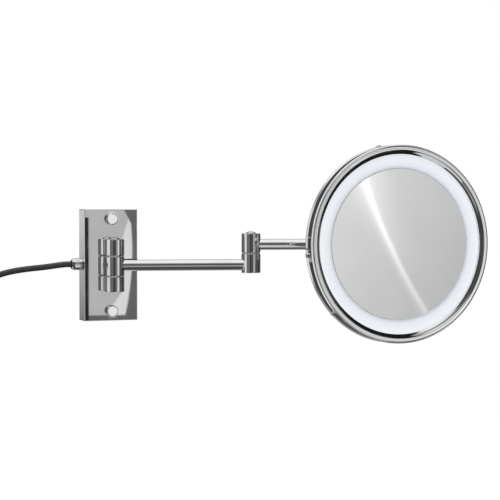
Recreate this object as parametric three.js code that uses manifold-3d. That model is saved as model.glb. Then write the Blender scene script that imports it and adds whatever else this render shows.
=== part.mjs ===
// Wall-mounted lit shaving mirror on a two-section swing arm.
// Millimetres. +Z is up, the wall is the plane y = 0 and the mirror faces -Y.
// The origin is the centre of the wall bracket's back face.
import * as THREE from 'three';
import { mergeVertices } from 'three/addons/utils/BufferGeometryUtils.js';
import Module from 'manifold-3d';

const wasm = await Module();
wasm.setup();

// ---------------------------------------------------------------- driving dimensions

// Clearances
const gap = 0.3; // between pieces that touch
const screwPlay = 0.3; // radial, round a screw in its hole
const pinPlay = 0.3; // radial, round a hinge pin in its bore

// Wall box
const boxWidth = 60;
const boxHeight = 122;
const boxDepth = 22.5;
const boxWall = 1.5;
const bracketThickness = 2.5;
const bracketHoleRadius = 2.5;
const bracketHoleEdge = 21.2; // from the bracket's top and bottom
const studEdge = 10.5; // from the box's top and bottom
const studRadius = 2;
const studBaseRadius = 4;
const studBaseHeight = 1.5;
const capNutRadius = 6.5;
const capNutHeight = 5.5;
const capNutRim = 4.6;
const capNutEngagement = 3.6;

// Parts inside the wall box
const driverWidth = 34;
const driverHeight = 24;
const driverClearance = 3.3; // between the driver's front and the hinge screws' heads
const terminalSize = new THREE.Vector3(26, 10, 12);
const terminalPortRadius = 2;
const insideClearance = 2; // between these parts and the foot of the stud next to them

// Cord gland in the left side of the box
const glandZ = 1;
const glandBaseRadius = 6.5;
const glandTipRadius = 6.1;
const glandLength = 11.5;
const glandThreadRadius = 4.8;
const glandThreadLength = 6.5;
const glandNutRadius = 7;
const glandNutHeight = 3;
const bushingLength = 0.6;
const bushingWall = 1.1;

// Cord
const cordRadius = 3.25;
const cordInnerRadius = 2.4; // the sheath inside the box
const coilTurnsAcross = 3;
const coilLayers = 2;
const coilMeanRadius = 35;
const coilCentreZ = -98;
const coilWallClearance = 0.2; // between the coil's tie and the wall
const tieWidth = 9;
const tieThickness = 1.2;
const plugLength = 36;
const plugWidth = 26;
const plugDepth = 14;
const plugPinRadius = 2;
const plugPinLength = 19;
const plugPinSpacing = 18.6;

// Hinges
const barrelRadius = 10.5;
const barrelChamfer = 0.5;
const pinRadius = 4;
const pinBoreRadius = 2.2;
const washerThickness = 0.8;
const washerInset = 0.5;
const capRadius = 5.6;
const capHeight = 2;
const barrelStandOff = 3; // from the box front to the wall hinge's barrel
const wallUpperKnuckleHeight = 17.5;
const wallArmKnuckleHeight = 20.4;
const wallLowerKnuckleHeight = 16.2;
const wallArmKnuckleMid = -0.8; // above the lower arm's axis
const elbowKnuckleHeight = 20.9;
const elbowKnuckleMid = 1.6; // above the axis of the arm that the knuckle carries
const panArmKnuckleHeight = 20;
const panForkKnuckleHeight = 10;
const footWidth = 12;
const hingeScrewRadius = 2;
const hingeScrewHeadRadius = 3.8;
const hingeScrewHeadHeight = 2.6;
const hingeScrewEndWall = 1.2; // between the screw's end and the pin's bore
const wireHoleRadius = 2.6;

// Arms
const tubeRadius = 6;
const tubeWall = 1.5;
const lowerArmLength = 149.5; // axis to axis
const upperArmLength = 143.5; // axis to axis
const armSwing = 14; // degrees out from the wall, for both arms
const wireRadius = 2;
const wireSetBack = 5; // from the barrel's skin

// Swivel behind the mirror
const forkInset = 0.2; // of the fork's sides from the barrel's
const forkClearance = 0.8; // between the barrel and the fork's web
const forkWeb = 4.7;
const tiltClearance = 0.5; // between the fork's web and the tongue's nose
const tiltRise = 0.9; // above the upper arm's axis
const tongueHalfWidth = 5.5;
const cheekRadius = 5.5;
const tiltPinRadius = 2.5;
const tiltHeadRadius = 4.4;
const tiltHeadHeight = 2.2;
const flangeRadius = 17;
const flangeThickness = 3;
const flangeClearance = 1.5; // between the cheeks and the flange
const flangeScrewRadius = 1.5;
const flangeScrewHeadRadius = 2.8;
const flangeScrewHeadHeight = 1.8;
const flangeScrewCircle = 12;
const flangeScrewCount = 3;
const flangeScrewEnd = 1.2; // past the inside of the housing

// Mirror head: radii, and depths behind the rim's foremost edge
const headRadius = 107.5;
const bandWidth = 6.6;
const bevelWidth = 3.7;
const lightWidth = 15.4;
const skirtDepth = 17;
const skirtWall = 1.3;
const lipDepth = 4.5;
const gasketThickness = 0.8;
const diffuserThickness = 2.5;
const glassThickness = 3;
const glassCurveRadius = 1200; // concave, magnifying
const seatClearance = 0.9; // between the housing's wall and the rings that lie in it
const seatOverlap = 0.6; // of the gasket's bore beyond the bezel's
const housingWall = 1.5;
const housingDepth = 25;
const housingFlatRadius = 20;
const skirtOverhang = 1; // of the bezel's skirt behind the housing's straight wall
const channelInset = 3.6; // of the light channel from the rings' outside
const channelClearance = 1.7; // between the glass and the light channel
const channelDepth = 5.6;
const channelWall = 1;
const boardOuterInset = 1.9; // of the board from the channel's outer wall
const boardInnerInset = 2.5; // of the board from the channel's inner wall
const boardThickness = 1.2;
const ledCount = 24;
const ledSize = 3.2;
const ledHeight = 1;
const backingThickness = 1.5;
const backingInset = 3;
const rimScrewCount = 3;
const rimScrewFirst = 103; // degrees, from +X towards +Z
const rimScrewDepth = 10.5;
const rimScrewRadius = 1.4;
const rimScrewHeadRadius = 2.3;
const rimScrewHeadHeight = 1.3;
const switchAngle = 186; // degrees, from +X towards +Z
const switchDepth = 14;
const buttonRadius = 2.6;
const buttonProud = 0.9;
const buttonStemRadius = 1.4;
const buttonPlay = 0.35;
const buttonTravel = 0.5;
const switchBodySize = new THREE.Vector3(2.2, 9, 4.4);

// Facets round a full turn
const headFacets = 56;
const barrelFacets = 28;
const smallFacets = 16;
const screwFacets = 10;

// ---------------------------------------------------------------- finishes

const finish = (colour, roughness, metalness) =>
  new THREE.MeshStandardMaterial({ color: colour, roughness, metalness, flatShading: true });

const chrome = () => finish(0xd4d6d8, 0.08, 1);
const steel = () => finish(0x9da0a3, 0.35, 1);
const brass = () => finish(0xc8a860, 0.3, 1);
const nylon = () => finish(0xe6e4de, 0.5, 0);
const blackRubber = () => finish(0x1a1a1c, 0.8, 0);
const cordGrey = () => finish(0x4a4b4e, 0.6, 0);
const whitePlastic = () => finish(0xf2f2f0, 0.45, 0);
const frosted = () => finish(0xeaf0f8, 0.6, 0);
const silvered = () => finish(0xc6c8ca, 0.03, 1);
const boardGreen = () => finish(0x2f6b45, 0.6, 0);

// ---------------------------------------------------------------- solids

// A closed body with merged corners and its faces pointing out.
function closedBody(source) {
  const bare = source.index ? source.toNonIndexed() : source.clone();
  bare.deleteAttribute('normal');
  bare.deleteAttribute('uv');
  const merged = mergeVertices(bare, 1e-4);
  const corners = merged.index.array;
  const points = merged.attributes.position;
  const a = new THREE.Vector3();
  const b = new THREE.Vector3();
  const c = new THREE.Vector3();
  const kept = [];
  let volume = 0;
  for (let i = 0; i < corners.length; i += 3) {
    const [p, q, r] = [corners[i], corners[i + 1], corners[i + 2]];
    if (p === q || q === r || p === r) continue;
    kept.push(p, q, r);
    a.fromBufferAttribute(points, p);
    b.fromBufferAttribute(points, q);
    c.fromBufferAttribute(points, r);
    volume += a.dot(b.cross(c));
  }
  merged.setIndex(volume < 0 ? kept.reverse() : kept);
  return merged;
}

function solidOf(geometry) {
  const body = closedBody(geometry);
  const vertProperties = new Float32Array(body.attributes.position.array);
  const triVerts = new Uint32Array(body.index.array);
  return new wasm.Manifold(new wasm.Mesh({ numProp: 3, vertProperties, triVerts }));
}

function geometryOf(solid) {
  const mesh = solid.getMesh();
  const geometry = new THREE.BufferGeometry();
  geometry.setAttribute('position', new THREE.BufferAttribute(mesh.vertProperties, 3));
  geometry.setIndex(new THREE.BufferAttribute(mesh.triVerts, 1));
  return geometry;
}

function join(first, ...others) {
  return geometryOf(others.reduce((solid, other) => solid.add(solidOf(other)), solidOf(first)));
}

function cut(first, ...tools) {
  return geometryOf(tools.reduce((solid, tool) => solid.subtract(solidOf(tool)), solidOf(first)));
}

// A solid of revolution about Z from [radius, height] points that start and end on the axis.
function turned(profile, facets) {
  const points = profile.map(([radius, height]) => new THREE.Vector2(radius, height));
  return new THREE.LatheGeometry(points, facets).rotateX(Math.PI / 2);
}

// A ring about Z from a loop of [radius, height] points.
function ring(profile, facets) {
  return turned([...profile, profile[0]], facets);
}

// A plain tube about Z between two heights.
function sleeve(inner, outer, from, to, facets) {
  return ring([[inner, from], [outer, from], [outer, to], [inner, to]], facets);
}

// A cylinder about Z between two heights.
function rod(radius, from, to, facets) {
  const shaft = new THREE.CylinderGeometry(radius, radius, to - from, facets);
  return shaft.rotateX(Math.PI / 2).translate(0, 0, (from + to) / 2);
}

// Cylinders along X and along Y, through the given place.
function rodAlongX(radius, from, to, y, z, facets) {
  return rod(radius, from, to, facets).rotateY(Math.PI / 2).translate(0, y, z);
}

function rodAlongY(radius, from, to, x, z, facets) {
  return rod(radius, from, to, facets).rotateX(-Math.PI / 2).translate(x, 0, z);
}

function block(x0, x1, y0, y1, z0, z1) {
  const box = new THREE.BoxGeometry(x1 - x0, y1 - y0, z1 - z0);
  return box.translate((x0 + x1) / 2, (y0 + y1) / 2, (z0 + z1) / 2);
}

// A round bar along a curve.
function bar(curve, radius, facets, steps) {
  const section = new THREE.Shape();
  for (let i = 0; i < facets; i += 1) {
    const angle = (2 * Math.PI * i) / facets;
    const [u, v] = [radius * Math.cos(angle), radius * Math.sin(angle)];
    if (i === 0) section.moveTo(u, v);
    else section.lineTo(u, v);
  }
  section.closePath();
  return new THREE.ExtrudeGeometry(section, { steps, extrudePath: curve, bevelEnabled: false });
}

function addPart(group, name, geometry, material) {
  const body = closedBody(geometry);
  body.computeVertexNormals();
  const mesh = new THREE.Mesh(body, material);
  mesh.name = name;
  group.add(mesh);
  return mesh;
}

function groupAt(parent, x, y, z) {
  const group = new THREE.Group();
  group.position.set(x, y, z);
  parent.add(group);
  return group;
}

const degrees = THREE.MathUtils.degToRad;

// ---------------------------------------------------------------- hinge pieces

// A barrel knuckle with chamfered ends, bored for its pin.
function knuckle(from, to) {
  const bore = pinRadius + pinPlay;
  const edge = barrelRadius - barrelChamfer;
  return ring([
    [bore, from],
    [edge, from],
    [barrelRadius, from + barrelChamfer],
    [barrelRadius, to - barrelChamfer],
    [edge, to],
    [bore, to],
  ], barrelFacets);
}

// A knuckle with the wire's hole towards its arm, which lies along +X or -X at the given height.
function armKnuckle(from, to, armZ, side) {
  const reach = side * (barrelRadius + 1);
  const [near, far] = side > 0 ? [0, reach] : [reach, 0];
  return cut(knuckle(from, to), rodAlongX(wireHoleRadius, near, far, 0, armZ, screwFacets));
}

function hingeWasher(from) {
  const inner = pinRadius + pinPlay;
  const outer = barrelRadius - washerInset;
  return sleeve(inner, outer, from, from + washerThickness, barrelFacets);
}

function hingePin(from, to) {
  return sleeve(pinBoreRadius, pinRadius, from, to, smallFacets);
}

// A low dome that closes the top of a barrel.
function barrelCap(base) {
  return turned([
    [0, base],
    [capRadius, base],
    [capRadius, base + 0.35 * capHeight],
    [0.86 * capRadius, base + 0.7 * capHeight],
    [0.5 * capRadius, base + 0.94 * capHeight],
    [0, base + capHeight],
  ], smallFacets);
}

// An arm tube along X between two barrels, its ends shaped to the barrels it meets.
function armTube(length, z) {
  const outer = rodAlongX(tubeRadius, 0, length, 0, z, barrelFacets);
  const bore = rodAlongX(tubeRadius - tubeWall, -1, length + 1, 0, z, smallFacets);
  const saddle = rod(barrelRadius + gap, z - 2 * tubeRadius, z + 2 * tubeRadius, barrelFacets);
  return cut(outer, bore, saddle, saddle.clone().translate(length, 0, 0));
}

function armWire(length, z) {
  const setBack = barrelRadius + wireSetBack;
  return rodAlongX(wireRadius, setBack, length - setBack, 0, z, 10);
}

// ---------------------------------------------------------------- heights and places

const boxFrontY = -boxDepth;
const boxInsideY = boxFrontY + boxWall;
const studZ = boxHeight / 2 - studEdge;
const bracketFrontY = -bracketThickness - gap; // where the pieces on the bracket start
const screwHeadBackY = boxInsideY + gap + hingeScrewHeadHeight;
const driverFrontY = screwHeadBackY + driverClearance;
const driverBottom = studBaseRadius + insideClearance - studZ;
const terminalTop = studZ - studBaseRadius - insideClearance;
const terminalBottom = terminalTop - terminalSize.z;
const glandY = boxFrontY / 2;
const wallAxisStandOff = barrelRadius + barrelStandOff; // from the box front
const wallAxisY = boxFrontY - wallAxisStandOff;
const hingeScrewReach = wallAxisStandOff - pinRadius - pinPlay - hingeScrewEndWall;
const seam = washerThickness + 2 * gap;

const wallArmTop = wallArmKnuckleMid + wallArmKnuckleHeight / 2;
const wallArmBottom = wallArmKnuckleMid - wallArmKnuckleHeight / 2;
const wallUpperBottom = wallArmTop + seam;
const wallUpperTop = wallUpperBottom + wallUpperKnuckleHeight;
const wallLowerTop = wallArmBottom - seam;
const wallLowerBottom = wallLowerTop - wallLowerKnuckleHeight;

const elbowLowerTop = elbowKnuckleMid + elbowKnuckleHeight / 2;
const elbowLowerBottom = elbowKnuckleMid - elbowKnuckleHeight / 2;
const armStep = elbowKnuckleHeight + seam; // the upper arm's axis above the lower arm's
const elbowUpperBottom = elbowLowerTop + seam;
const elbowUpperTop = elbowUpperBottom + elbowKnuckleHeight;

const panTop = panArmKnuckleHeight / 2;
const forkInner = panTop + seam;
const forkOuter = forkInner + panForkKnuckleHeight;

const assembly = new THREE.Group();

// ---------------------------------------------------------------- wall box

function wallBracket() {
  const halfWidth = boxWidth / 2 - boxWall - gap;
  const halfHeight = boxHeight / 2 - boxWall - gap;
  const plate = block(-halfWidth, halfWidth, -bracketThickness, 0, -halfHeight, halfHeight);
  const holes = [];
  for (const x of [-1, 1]) {
    for (const z of [-1, 1]) {
      const holeX = x * (halfWidth - 3 * bracketHoleRadius);
      const holeZ = z * (halfHeight - bracketHoleEdge);
      holes.push(rodAlongY(bracketHoleRadius, -bracketThickness - 1, 1, holeX, holeZ, screwFacets));
    }
  }
  const glandRoom = glandNutRadius + gap; // a shallow box's bracket is cut back round the nut
  const roomEnd = glandNutHeight + 2 * gap - halfWidth;
  const relief = rodAlongX(glandRoom, -halfWidth - 1, roomEnd, glandY, glandZ, smallFacets);
  return cut(plate, ...holes, relief);
}

function boxCover(screwHeights) {
  const [x, z] = [boxWidth / 2, boxHeight / 2];
  const shell = block(-x, x, boxFrontY, 0, -z, z);
  const [innerX, innerZ] = [x - boxWall, z - boxWall];
  const cavity = block(-innerX, innerX, boxInsideY, 1, -innerZ, innerZ);
  const holes = [cavity];
  const [front, back] = [boxFrontY - 1, boxInsideY + 1];
  for (const side of [-1, 1]) {
    const radius = studRadius + screwPlay;
    holes.push(rodAlongY(radius, front, back, 0, side * studZ, screwFacets));
  }
  for (const height of screwHeights) {
    holes.push(rodAlongY(hingeScrewRadius + screwPlay, front, back, 0, height, screwFacets));
  }
  const glandHole = glandThreadRadius + screwPlay;
  holes.push(rodAlongX(glandHole, -x - 1, -innerX + 1, glandY, glandZ, smallFacets));
  return cut(shell, ...holes);
}

function coverStud(z) {
  const base = -bracketThickness - gap;
  const tip = boxFrontY - gap - capNutEngagement;
  const foot = rodAlongY(studBaseRadius, base - studBaseHeight, base, 0, z, screwFacets);
  return join(foot, rodAlongY(studRadius, tip, base - studBaseHeight / 2, 0, z, screwFacets));
}

// A flat-faced nut, blind at its front.
function capNut(z) {
  const bore = studRadius + screwPlay;
  const profile = [
    [bore, 0],
    [capNutRadius - 0.4, 0],
    [capNutRadius, 0.4],
    [capNutRadius, capNutRim],
    [0.9 * capNutRadius, capNutHeight],
    [0, capNutHeight],
    [0, capNutEngagement + gap],
    [bore, capNutEngagement + gap],
    [bore, 0],
  ];
  return turned(profile, 28).rotateX(Math.PI / 2).translate(0, boxFrontY - gap, z);
}

function hingeScrew(z) {
  const head = boxInsideY + gap;
  const end = boxFrontY - gap - hingeScrewReach;
  return join(
    rodAlongY(hingeScrewHeadRadius, head, head + hingeScrewHeadHeight, 0, z, screwFacets),
    rodAlongY(hingeScrewRadius, end, head + hingeScrewHeadHeight / 2, 0, z, screwFacets),
  );
}

// A fixed knuckle with the foot that stands it off the box.
function fixedKnuckle(from, to) {
  const root = boxFrontY - gap;
  const half = footWidth / 2;
  const foot = block(-half, half, wallAxisY, root, from + barrelChamfer, to - barrelChamfer);
  const bore = rod(pinRadius + pinPlay, from - 1, to + 1, barrelFacets).translate(0, wallAxisY, 0);
  const screwHole = rodAlongY(
    hingeScrewRadius + screwPlay,
    root - hingeScrewReach - gap,
    root + 1,
    0,
    (from + to) / 2,
    screwFacets,
  );
  const blank = rod(barrelRadius, from, to, barrelFacets).translate(0, wallAxisY, 0);
  return cut(join(blank, foot), bore, screwHole);
}

// A three-way connector with a wire port in each way.
function terminalBlock() {
  const [halfWidth, front] = [terminalSize.x / 2, bracketFrontY - terminalSize.y];
  const body = block(-halfWidth, halfWidth, front, bracketFrontY, terminalBottom, terminalTop);
  const ways = 3;
  const pitch = terminalSize.x / ways;
  const middleY = (front + bracketFrontY) / 2;
  const portTop = terminalBottom + 0.6 * terminalSize.z;
  const ports = [];
  for (let way = 0; way < ways; way += 1) {
    const x = (way - (ways - 1) / 2) * pitch;
    const port = rod(terminalPortRadius, terminalBottom - 1, portTop, screwFacets);
    ports.push(port.translate(x, middleY, 0));
  }
  return cut(body, ...ports);
}

function ledDriver() {
  const half = driverWidth / 2;
  const driverTop = driverBottom + driverHeight;
  return block(-half, half, driverFrontY, bracketFrontY, driverBottom, driverTop);
}

function buildWallBox() {
  const wallBox = groupAt(assembly, 0, 0, 0);
  const upperScrewZ = (wallUpperBottom + wallUpperTop) / 2;
  const lowerScrewZ = (wallLowerBottom + wallLowerTop) / 2;
  addPart(wallBox, 'wall_bracket', wallBracket(), steel());
  addPart(wallBox, 'box_cover', boxCover([upperScrewZ, lowerScrewZ]), chrome());
  for (const [side, label] of [[1, 'upper'], [-1, 'lower']]) {
    const z = side * studZ;
    addPart(wallBox, `cover_stud_${label}`, coverStud(z), steel());
    addPart(wallBox, `cap_nut_${label}`, capNut(z), chrome());
  }
  addPart(wallBox, 'led_driver', ledDriver(), whitePlastic());
  addPart(wallBox, 'terminal_block', terminalBlock(), whitePlastic());
  addPart(wallBox, 'wall_knuckle_upper', fixedKnuckle(wallUpperBottom, wallUpperTop), chrome());
  addPart(wallBox, 'wall_knuckle_lower', fixedKnuckle(wallLowerBottom, wallLowerTop), chrome());
  addPart(wallBox, 'hinge_screw_upper', hingeScrew(upperScrewZ), steel());
  addPart(wallBox, 'hinge_screw_lower', hingeScrew(lowerScrewZ), steel());

  const barrel = groupAt(wallBox, 0, wallAxisY, 0);
  addPart(barrel, 'wall_hinge_pin', hingePin(wallLowerBottom, wallUpperTop), steel());
  addPart(barrel, 'wall_washer_upper', hingeWasher(wallArmTop + gap), nylon());
  addPart(barrel, 'wall_washer_lower', hingeWasher(wallLowerTop + gap), nylon());
  addPart(barrel, 'wall_barrel_cap', barrelCap(wallUpperTop + gap), chrome());
}

// ---------------------------------------------------------------- cord gland and cord

const glandBaseX = -boxWidth / 2 - gap;
const glandTipX = glandBaseX - glandLength;
const cordStartX = glandTipX - bushingLength - gap;

// The gland's own axis is Z here, running outward from the side of the box.
function glandBody() {
  const bore = cordRadius + bushingWall + gap;
  return ring([
    [cordRadius + gap, -glandThreadLength],
    [glandThreadRadius, -glandThreadLength],
    [glandThreadRadius, 0],
    [glandBaseRadius, 0],
    [glandBaseRadius, 0.35 * glandLength],
    [glandTipRadius, 0.8 * glandLength],
    [glandTipRadius - 1.1, glandLength],
    [bore, glandLength],
    [bore, 0.4 * glandLength],
    [cordRadius + gap, 0.4 * glandLength],
  ], 28);
}

function outwardFromBox(geometry) {
  return geometry.rotateY(-Math.PI / 2).translate(glandBaseX, glandY, glandZ);
}

// The loose cord, from the bushing's face to the top of its coil.
const coilOuterRadius = coilMeanRadius + coilTurnsAcross * cordRadius;
const coilInnerRadius = coilMeanRadius - coilTurnsAcross * cordRadius;
const coilDepth = coilLayers * 2 * cordRadius;
const outerTurnRadius = coilOuterRadius - cordRadius;
const coilCentreX = -194.75;
const coilBackY = -(coilWallClearance + tieThickness + gap);
const cordDropX = coilCentreX + outerTurnRadius;
const backLayerY = coilBackY - cordRadius;
const frontLayerY = coilBackY - 3 * cordRadius;
// A turn tangent to the coil's outer turn leaves the coil's own outline at this height.
const coilMeetZ = Math.sqrt(coilOuterRadius ** 2 - (outerTurnRadius - cordRadius) ** 2);

const cordRoute = [
  [cordStartX, glandY, glandZ],
  [-47, -11.2, 1],
  [-52, -11.2, 0.7],
  [-58, -11.1, 0],
  [-64, -11, -0.8],
  [-71, -10.9, -1.6],
  [-78, -10.7, -2.3],
  [-86, -10.5, -3],
  [-94, -10.2, -3.9],
  [-102, -9.9, -5],
  [-110, -9.5, -6.5],
  [-118, -9.1, -8.5],
  [-126, -8.8, -11.4],
  [-133.5, -8.4, -15.4],
  [-140.3, -7.9, -20.6],
  [-146, -7.3, -27],
  [-150.2, -6.6, -34.4],
  [-152.7, -5.9, -42.5],
  [-153.4, -5.4, -51],
  [-153.5, -5.1, -60],
  [cordDropX, backLayerY, coilCentreZ + coilMeetZ + gap],
];

const plugTopZ = coilCentreZ - 52;

const tailRoute = [
  [cordDropX, frontLayerY, coilCentreZ - coilMeetZ - gap],
  [cordDropX, frontLayerY, coilCentreZ - 32],
  [cordDropX, frontLayerY, coilCentreZ - 42],
  [cordDropX, frontLayerY, plugTopZ + gap],
];

function curveThrough(route) {
  return new THREE.CatmullRomCurve3(route.map((point) => new THREE.Vector3(...point)));
}

function coilBody() {
  const corner = cordRadius;
  const loop = ring([
    [coilInnerRadius, -coilDepth + corner],
    [coilInnerRadius + corner, -coilDepth],
    [coilOuterRadius - corner, -coilDepth],
    [coilOuterRadius, -coilDepth + corner],
    [coilOuterRadius, -corner],
    [coilOuterRadius - corner, 0],
    [coilInnerRadius + corner, 0],
    [coilInnerRadius, -corner],
  ], 40);
  return loop.rotateX(-Math.PI / 2).translate(coilCentreX, coilBackY, coilCentreZ);
}

// A flat strap round the turns, on the side of the coil away from the hanging cord.
function coilTie() {
  const half = tieWidth / 2;
  const sag = coilInnerRadius - Math.sqrt(coilInnerRadius ** 2 - half ** 2);
  const near = coilCentreX - coilInnerRadius + sag + gap;
  const far = coilCentreX - coilOuterRadius - gap;
  const back = coilBackY + gap;
  const front = coilBackY - coilDepth - gap;
  const [z0, z1] = [coilCentreZ - half, coilCentreZ + half];
  const t = tieThickness;
  const outside = block(far - t, near + t, front - t, back + t, z0, z1);
  return cut(outside, block(far, near, front, back, z0 - 1, z1 + 1));
}

function plugPin(side) {
  const profile = [
    [0, -plugLength + 2],
    [plugPinRadius, -plugLength + 2],
    [plugPinRadius, -plugLength - plugPinLength + 1.2],
    [0.5 * plugPinRadius, -plugLength - plugPinLength],
    [0, -plugLength - plugPinLength],
  ];
  return turned(profile, screwFacets).translate((side * plugPinSpacing) / 2, 0, 0);
}

// The moulded plug, with its two pins.
function plugBody() {
  const outline = new THREE.Shape();
  const [half, shoulder, neck] = [plugWidth / 2, 0.55 * plugLength, 5];
  outline.moveTo(-half, -plugLength);
  outline.lineTo(half, -plugLength);
  outline.lineTo(half, -shoulder);
  outline.quadraticCurveTo(half, -0.2 * plugLength, neck, 0);
  outline.lineTo(-neck, 0);
  outline.quadraticCurveTo(-half, -0.2 * plugLength, -half, -shoulder);
  outline.closePath();
  const bevel = 1.5;
  const slab = new THREE.ExtrudeGeometry(outline, {
    depth: plugDepth - 2 * bevel,
    bevelThickness: bevel,
    bevelSize: bevel,
    bevelOffset: -bevel,
    bevelSegments: 1,
    curveSegments: 6,
  });
  slab.translate(0, 0, -(plugDepth - 2 * bevel) / 2).rotateX(Math.PI / 2);
  return join(slab, plugPin(-1), plugPin(1)).translate(cordDropX, frontLayerY, plugTopZ);
}

function buildCord() {
  const gland = groupAt(assembly, 0, 0, 0);
  const nutBack = -boxWall - 2 * gap;
  const nut = cut(
    rod(glandNutRadius, nutBack - glandNutHeight, nutBack, 6),
    rod(glandThreadRadius + screwPlay, nutBack - glandNutHeight - 1, nutBack + 1, smallFacets),
  );
  const bushing = ring([
    [cordRadius + gap, 0.45 * glandLength],
    [cordRadius + bushingWall, 0.45 * glandLength],
    [cordRadius + bushingWall, glandLength + bushingLength],
    [cordRadius + gap, glandLength + bushingLength],
  ], smallFacets);
  const insideRoute = [
    [glandBaseX + glandThreadLength + gap, glandY, glandZ],
    [-18, glandY, 2.5],
    [-13, -10.4, 7],
    [-9.5, -9, 13],
    [-8.7, -7.9, 20],
    [-8.7, -7.8, terminalBottom - gap],
  ];
  addPart(gland, 'cord_gland', outwardFromBox(glandBody()), chrome());
  addPart(gland, 'gland_nut', outwardFromBox(nut), brass());
  addPart(gland, 'gland_bushing', outwardFromBox(bushing), blackRubber());
  addPart(gland, 'feed_lead', bar(curveThrough(insideRoute), cordInnerRadius, 8, 12), cordGrey());

  const cord = groupAt(assembly, 0, 0, 0);
  addPart(cord, 'cord', bar(curveThrough(cordRoute), cordRadius, 8, 26), cordGrey());
  addPart(cord, 'cord_coil', coilBody(), cordGrey());
  addPart(cord, 'cord_tail', bar(curveThrough(tailRoute), cordRadius, 8, 4), cordGrey());
  addPart(cord, 'coil_tie', coilTie(), blackRubber());
  addPart(cord, 'plug_body', plugBody(), cordGrey());
}

// ---------------------------------------------------------------- arms

const lowerArm = groupAt(assembly, 0, wallAxisY, 0);
lowerArm.rotation.z = degrees(-armSwing);
const upperArm = groupAt(lowerArm, lowerArmLength, 0, armStep);
const swivel = groupAt(upperArm, upperArmLength, 0, 0);
swivel.rotation.z = degrees(armSwing);

function buildLowerArm() {
  addPart(lowerArm, 'wall_arm_knuckle', armKnuckle(wallArmBottom, wallArmTop, 0, 1), chrome());
  addPart(lowerArm, 'lower_arm_tube', armTube(lowerArmLength, 0), chrome());
  addPart(lowerArm, 'lower_arm_wire', armWire(lowerArmLength, 0), blackRubber());

  const elbow = groupAt(lowerArm, lowerArmLength, 0, 0);
  const body = armKnuckle(elbowLowerBottom, elbowLowerTop, 0, -1);
  addPart(elbow, 'elbow_lower_knuckle', body, chrome());
  addPart(elbow, 'elbow_pin', hingePin(elbowLowerBottom, elbowUpperTop), steel());
  addPart(elbow, 'elbow_washer', hingeWasher(elbowLowerTop + gap), nylon());
}

function buildUpperArm() {
  const [from, to] = [elbowUpperBottom - armStep, elbowUpperTop - armStep];
  addPart(upperArm, 'elbow_upper_knuckle', armKnuckle(from, to, 0, 1), chrome());
  addPart(upperArm, 'elbow_cap', barrelCap(to + gap), chrome());
  addPart(upperArm, 'upper_arm_tube', armTube(upperArmLength, 0), chrome());
  addPart(upperArm, 'upper_arm_wire', armWire(upperArmLength, 0), blackRubber());

  const end = groupAt(upperArm, upperArmLength, 0, 0);
  addPart(end, 'pan_arm_knuckle', armKnuckle(-panTop, panTop, 0, -1), chrome());
}

// ---------------------------------------------------------------- swivel

const cheekInner = tongueHalfWidth + gap;
const forkHalfWidth = barrelRadius - forkInset;
const tiltReach = barrelRadius + forkClearance + forkWeb + tiltClearance + cheekRadius;

function swivelFork() {
  const webBack = -barrelRadius - forkClearance;
  const webFront = webBack - forkWeb;
  const w = forkHalfWidth;
  const pieces = [block(-w, w, webFront, webBack, -forkOuter, forkOuter)];
  for (const side of [-1, 1]) {
    const [from, to] = side > 0 ? [forkInner, forkOuter] : [-forkOuter, -forkInner];
    pieces.push(rod(barrelRadius, from, to, barrelFacets));
    pieces.push(block(-w, w, webBack - forkWeb / 2, 0, from, to));
    const [x0, x1] = side > 0 ? [cheekInner, w] : [-w, -cheekInner];
    const [z0, z1] = [tiltRise - cheekRadius, tiltRise + cheekRadius];
    pieces.push(rodAlongX(cheekRadius, x0, x1, -tiltReach, tiltRise, smallFacets));
    pieces.push(block(x0, x1, -tiltReach, webFront + forkWeb / 2, z0, z1));
  }
  const [first, ...rest] = pieces;
  const hole = tiltPinRadius + pinPlay;
  return cut(
    join(first, ...rest),
    rod(pinRadius + pinPlay, -forkOuter - 1, forkOuter + 1, barrelFacets),
    rodAlongX(hole, -w - 1, w + 1, -tiltReach, tiltRise, screwFacets),
  );
}

function tiltScrew() {
  const head = forkHalfWidth + gap;
  const end = -forkHalfWidth - 2 * gap - tiltHeadHeight;
  return join(
    rodAlongX(tiltHeadRadius, head, head + tiltHeadHeight, -tiltReach, tiltRise, smallFacets),
    rodAlongX(tiltPinRadius, end, head + tiltHeadHeight / 2, -tiltReach, tiltRise, screwFacets),
  );
}

function tiltNut() {
  const face = -forkHalfWidth - gap;
  const blank = rodAlongX(tiltHeadRadius, face - tiltHeadHeight, face, -tiltReach, tiltRise, 6);
  const hole = tiltPinRadius + screwPlay;
  return cut(blank, rodAlongX(hole, face - 9, face + 1, -tiltReach, tiltRise, screwFacets));
}

function buildSwivel() {
  addPart(swivel, 'swivel_fork', swivelFork(), chrome());
  addPart(swivel, 'pan_pin', hingePin(-forkOuter, forkOuter), steel());
  addPart(swivel, 'pan_washer_upper', hingeWasher(panTop + gap), nylon());
  addPart(swivel, 'pan_washer_lower', hingeWasher(-panTop - gap - washerThickness), nylon());
  addPart(swivel, 'pan_cap', barrelCap(forkOuter + gap), chrome());
  addPart(swivel, 'tilt_screw', tiltScrew(), steel());
  addPart(swivel, 'tilt_nut', tiltNut(), steel());
}

// ---------------------------------------------------------------- mirror head

// The head's own frame has its origin on the tilt axis; its face frame has +Z towards the viewer
// and z = 0 at the rim's foremost edge, so a depth d lies at z = -d.
const head = groupAt(swivel, 0, -tiltReach, tiltRise);
const flangeDistance = cheekRadius + flangeClearance;
const housingBackY = -flangeDistance - flangeThickness - gap;
const face = groupAt(head, 0, housingBackY - housingDepth, 0);
face.rotation.x = Math.PI / 2;

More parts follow.
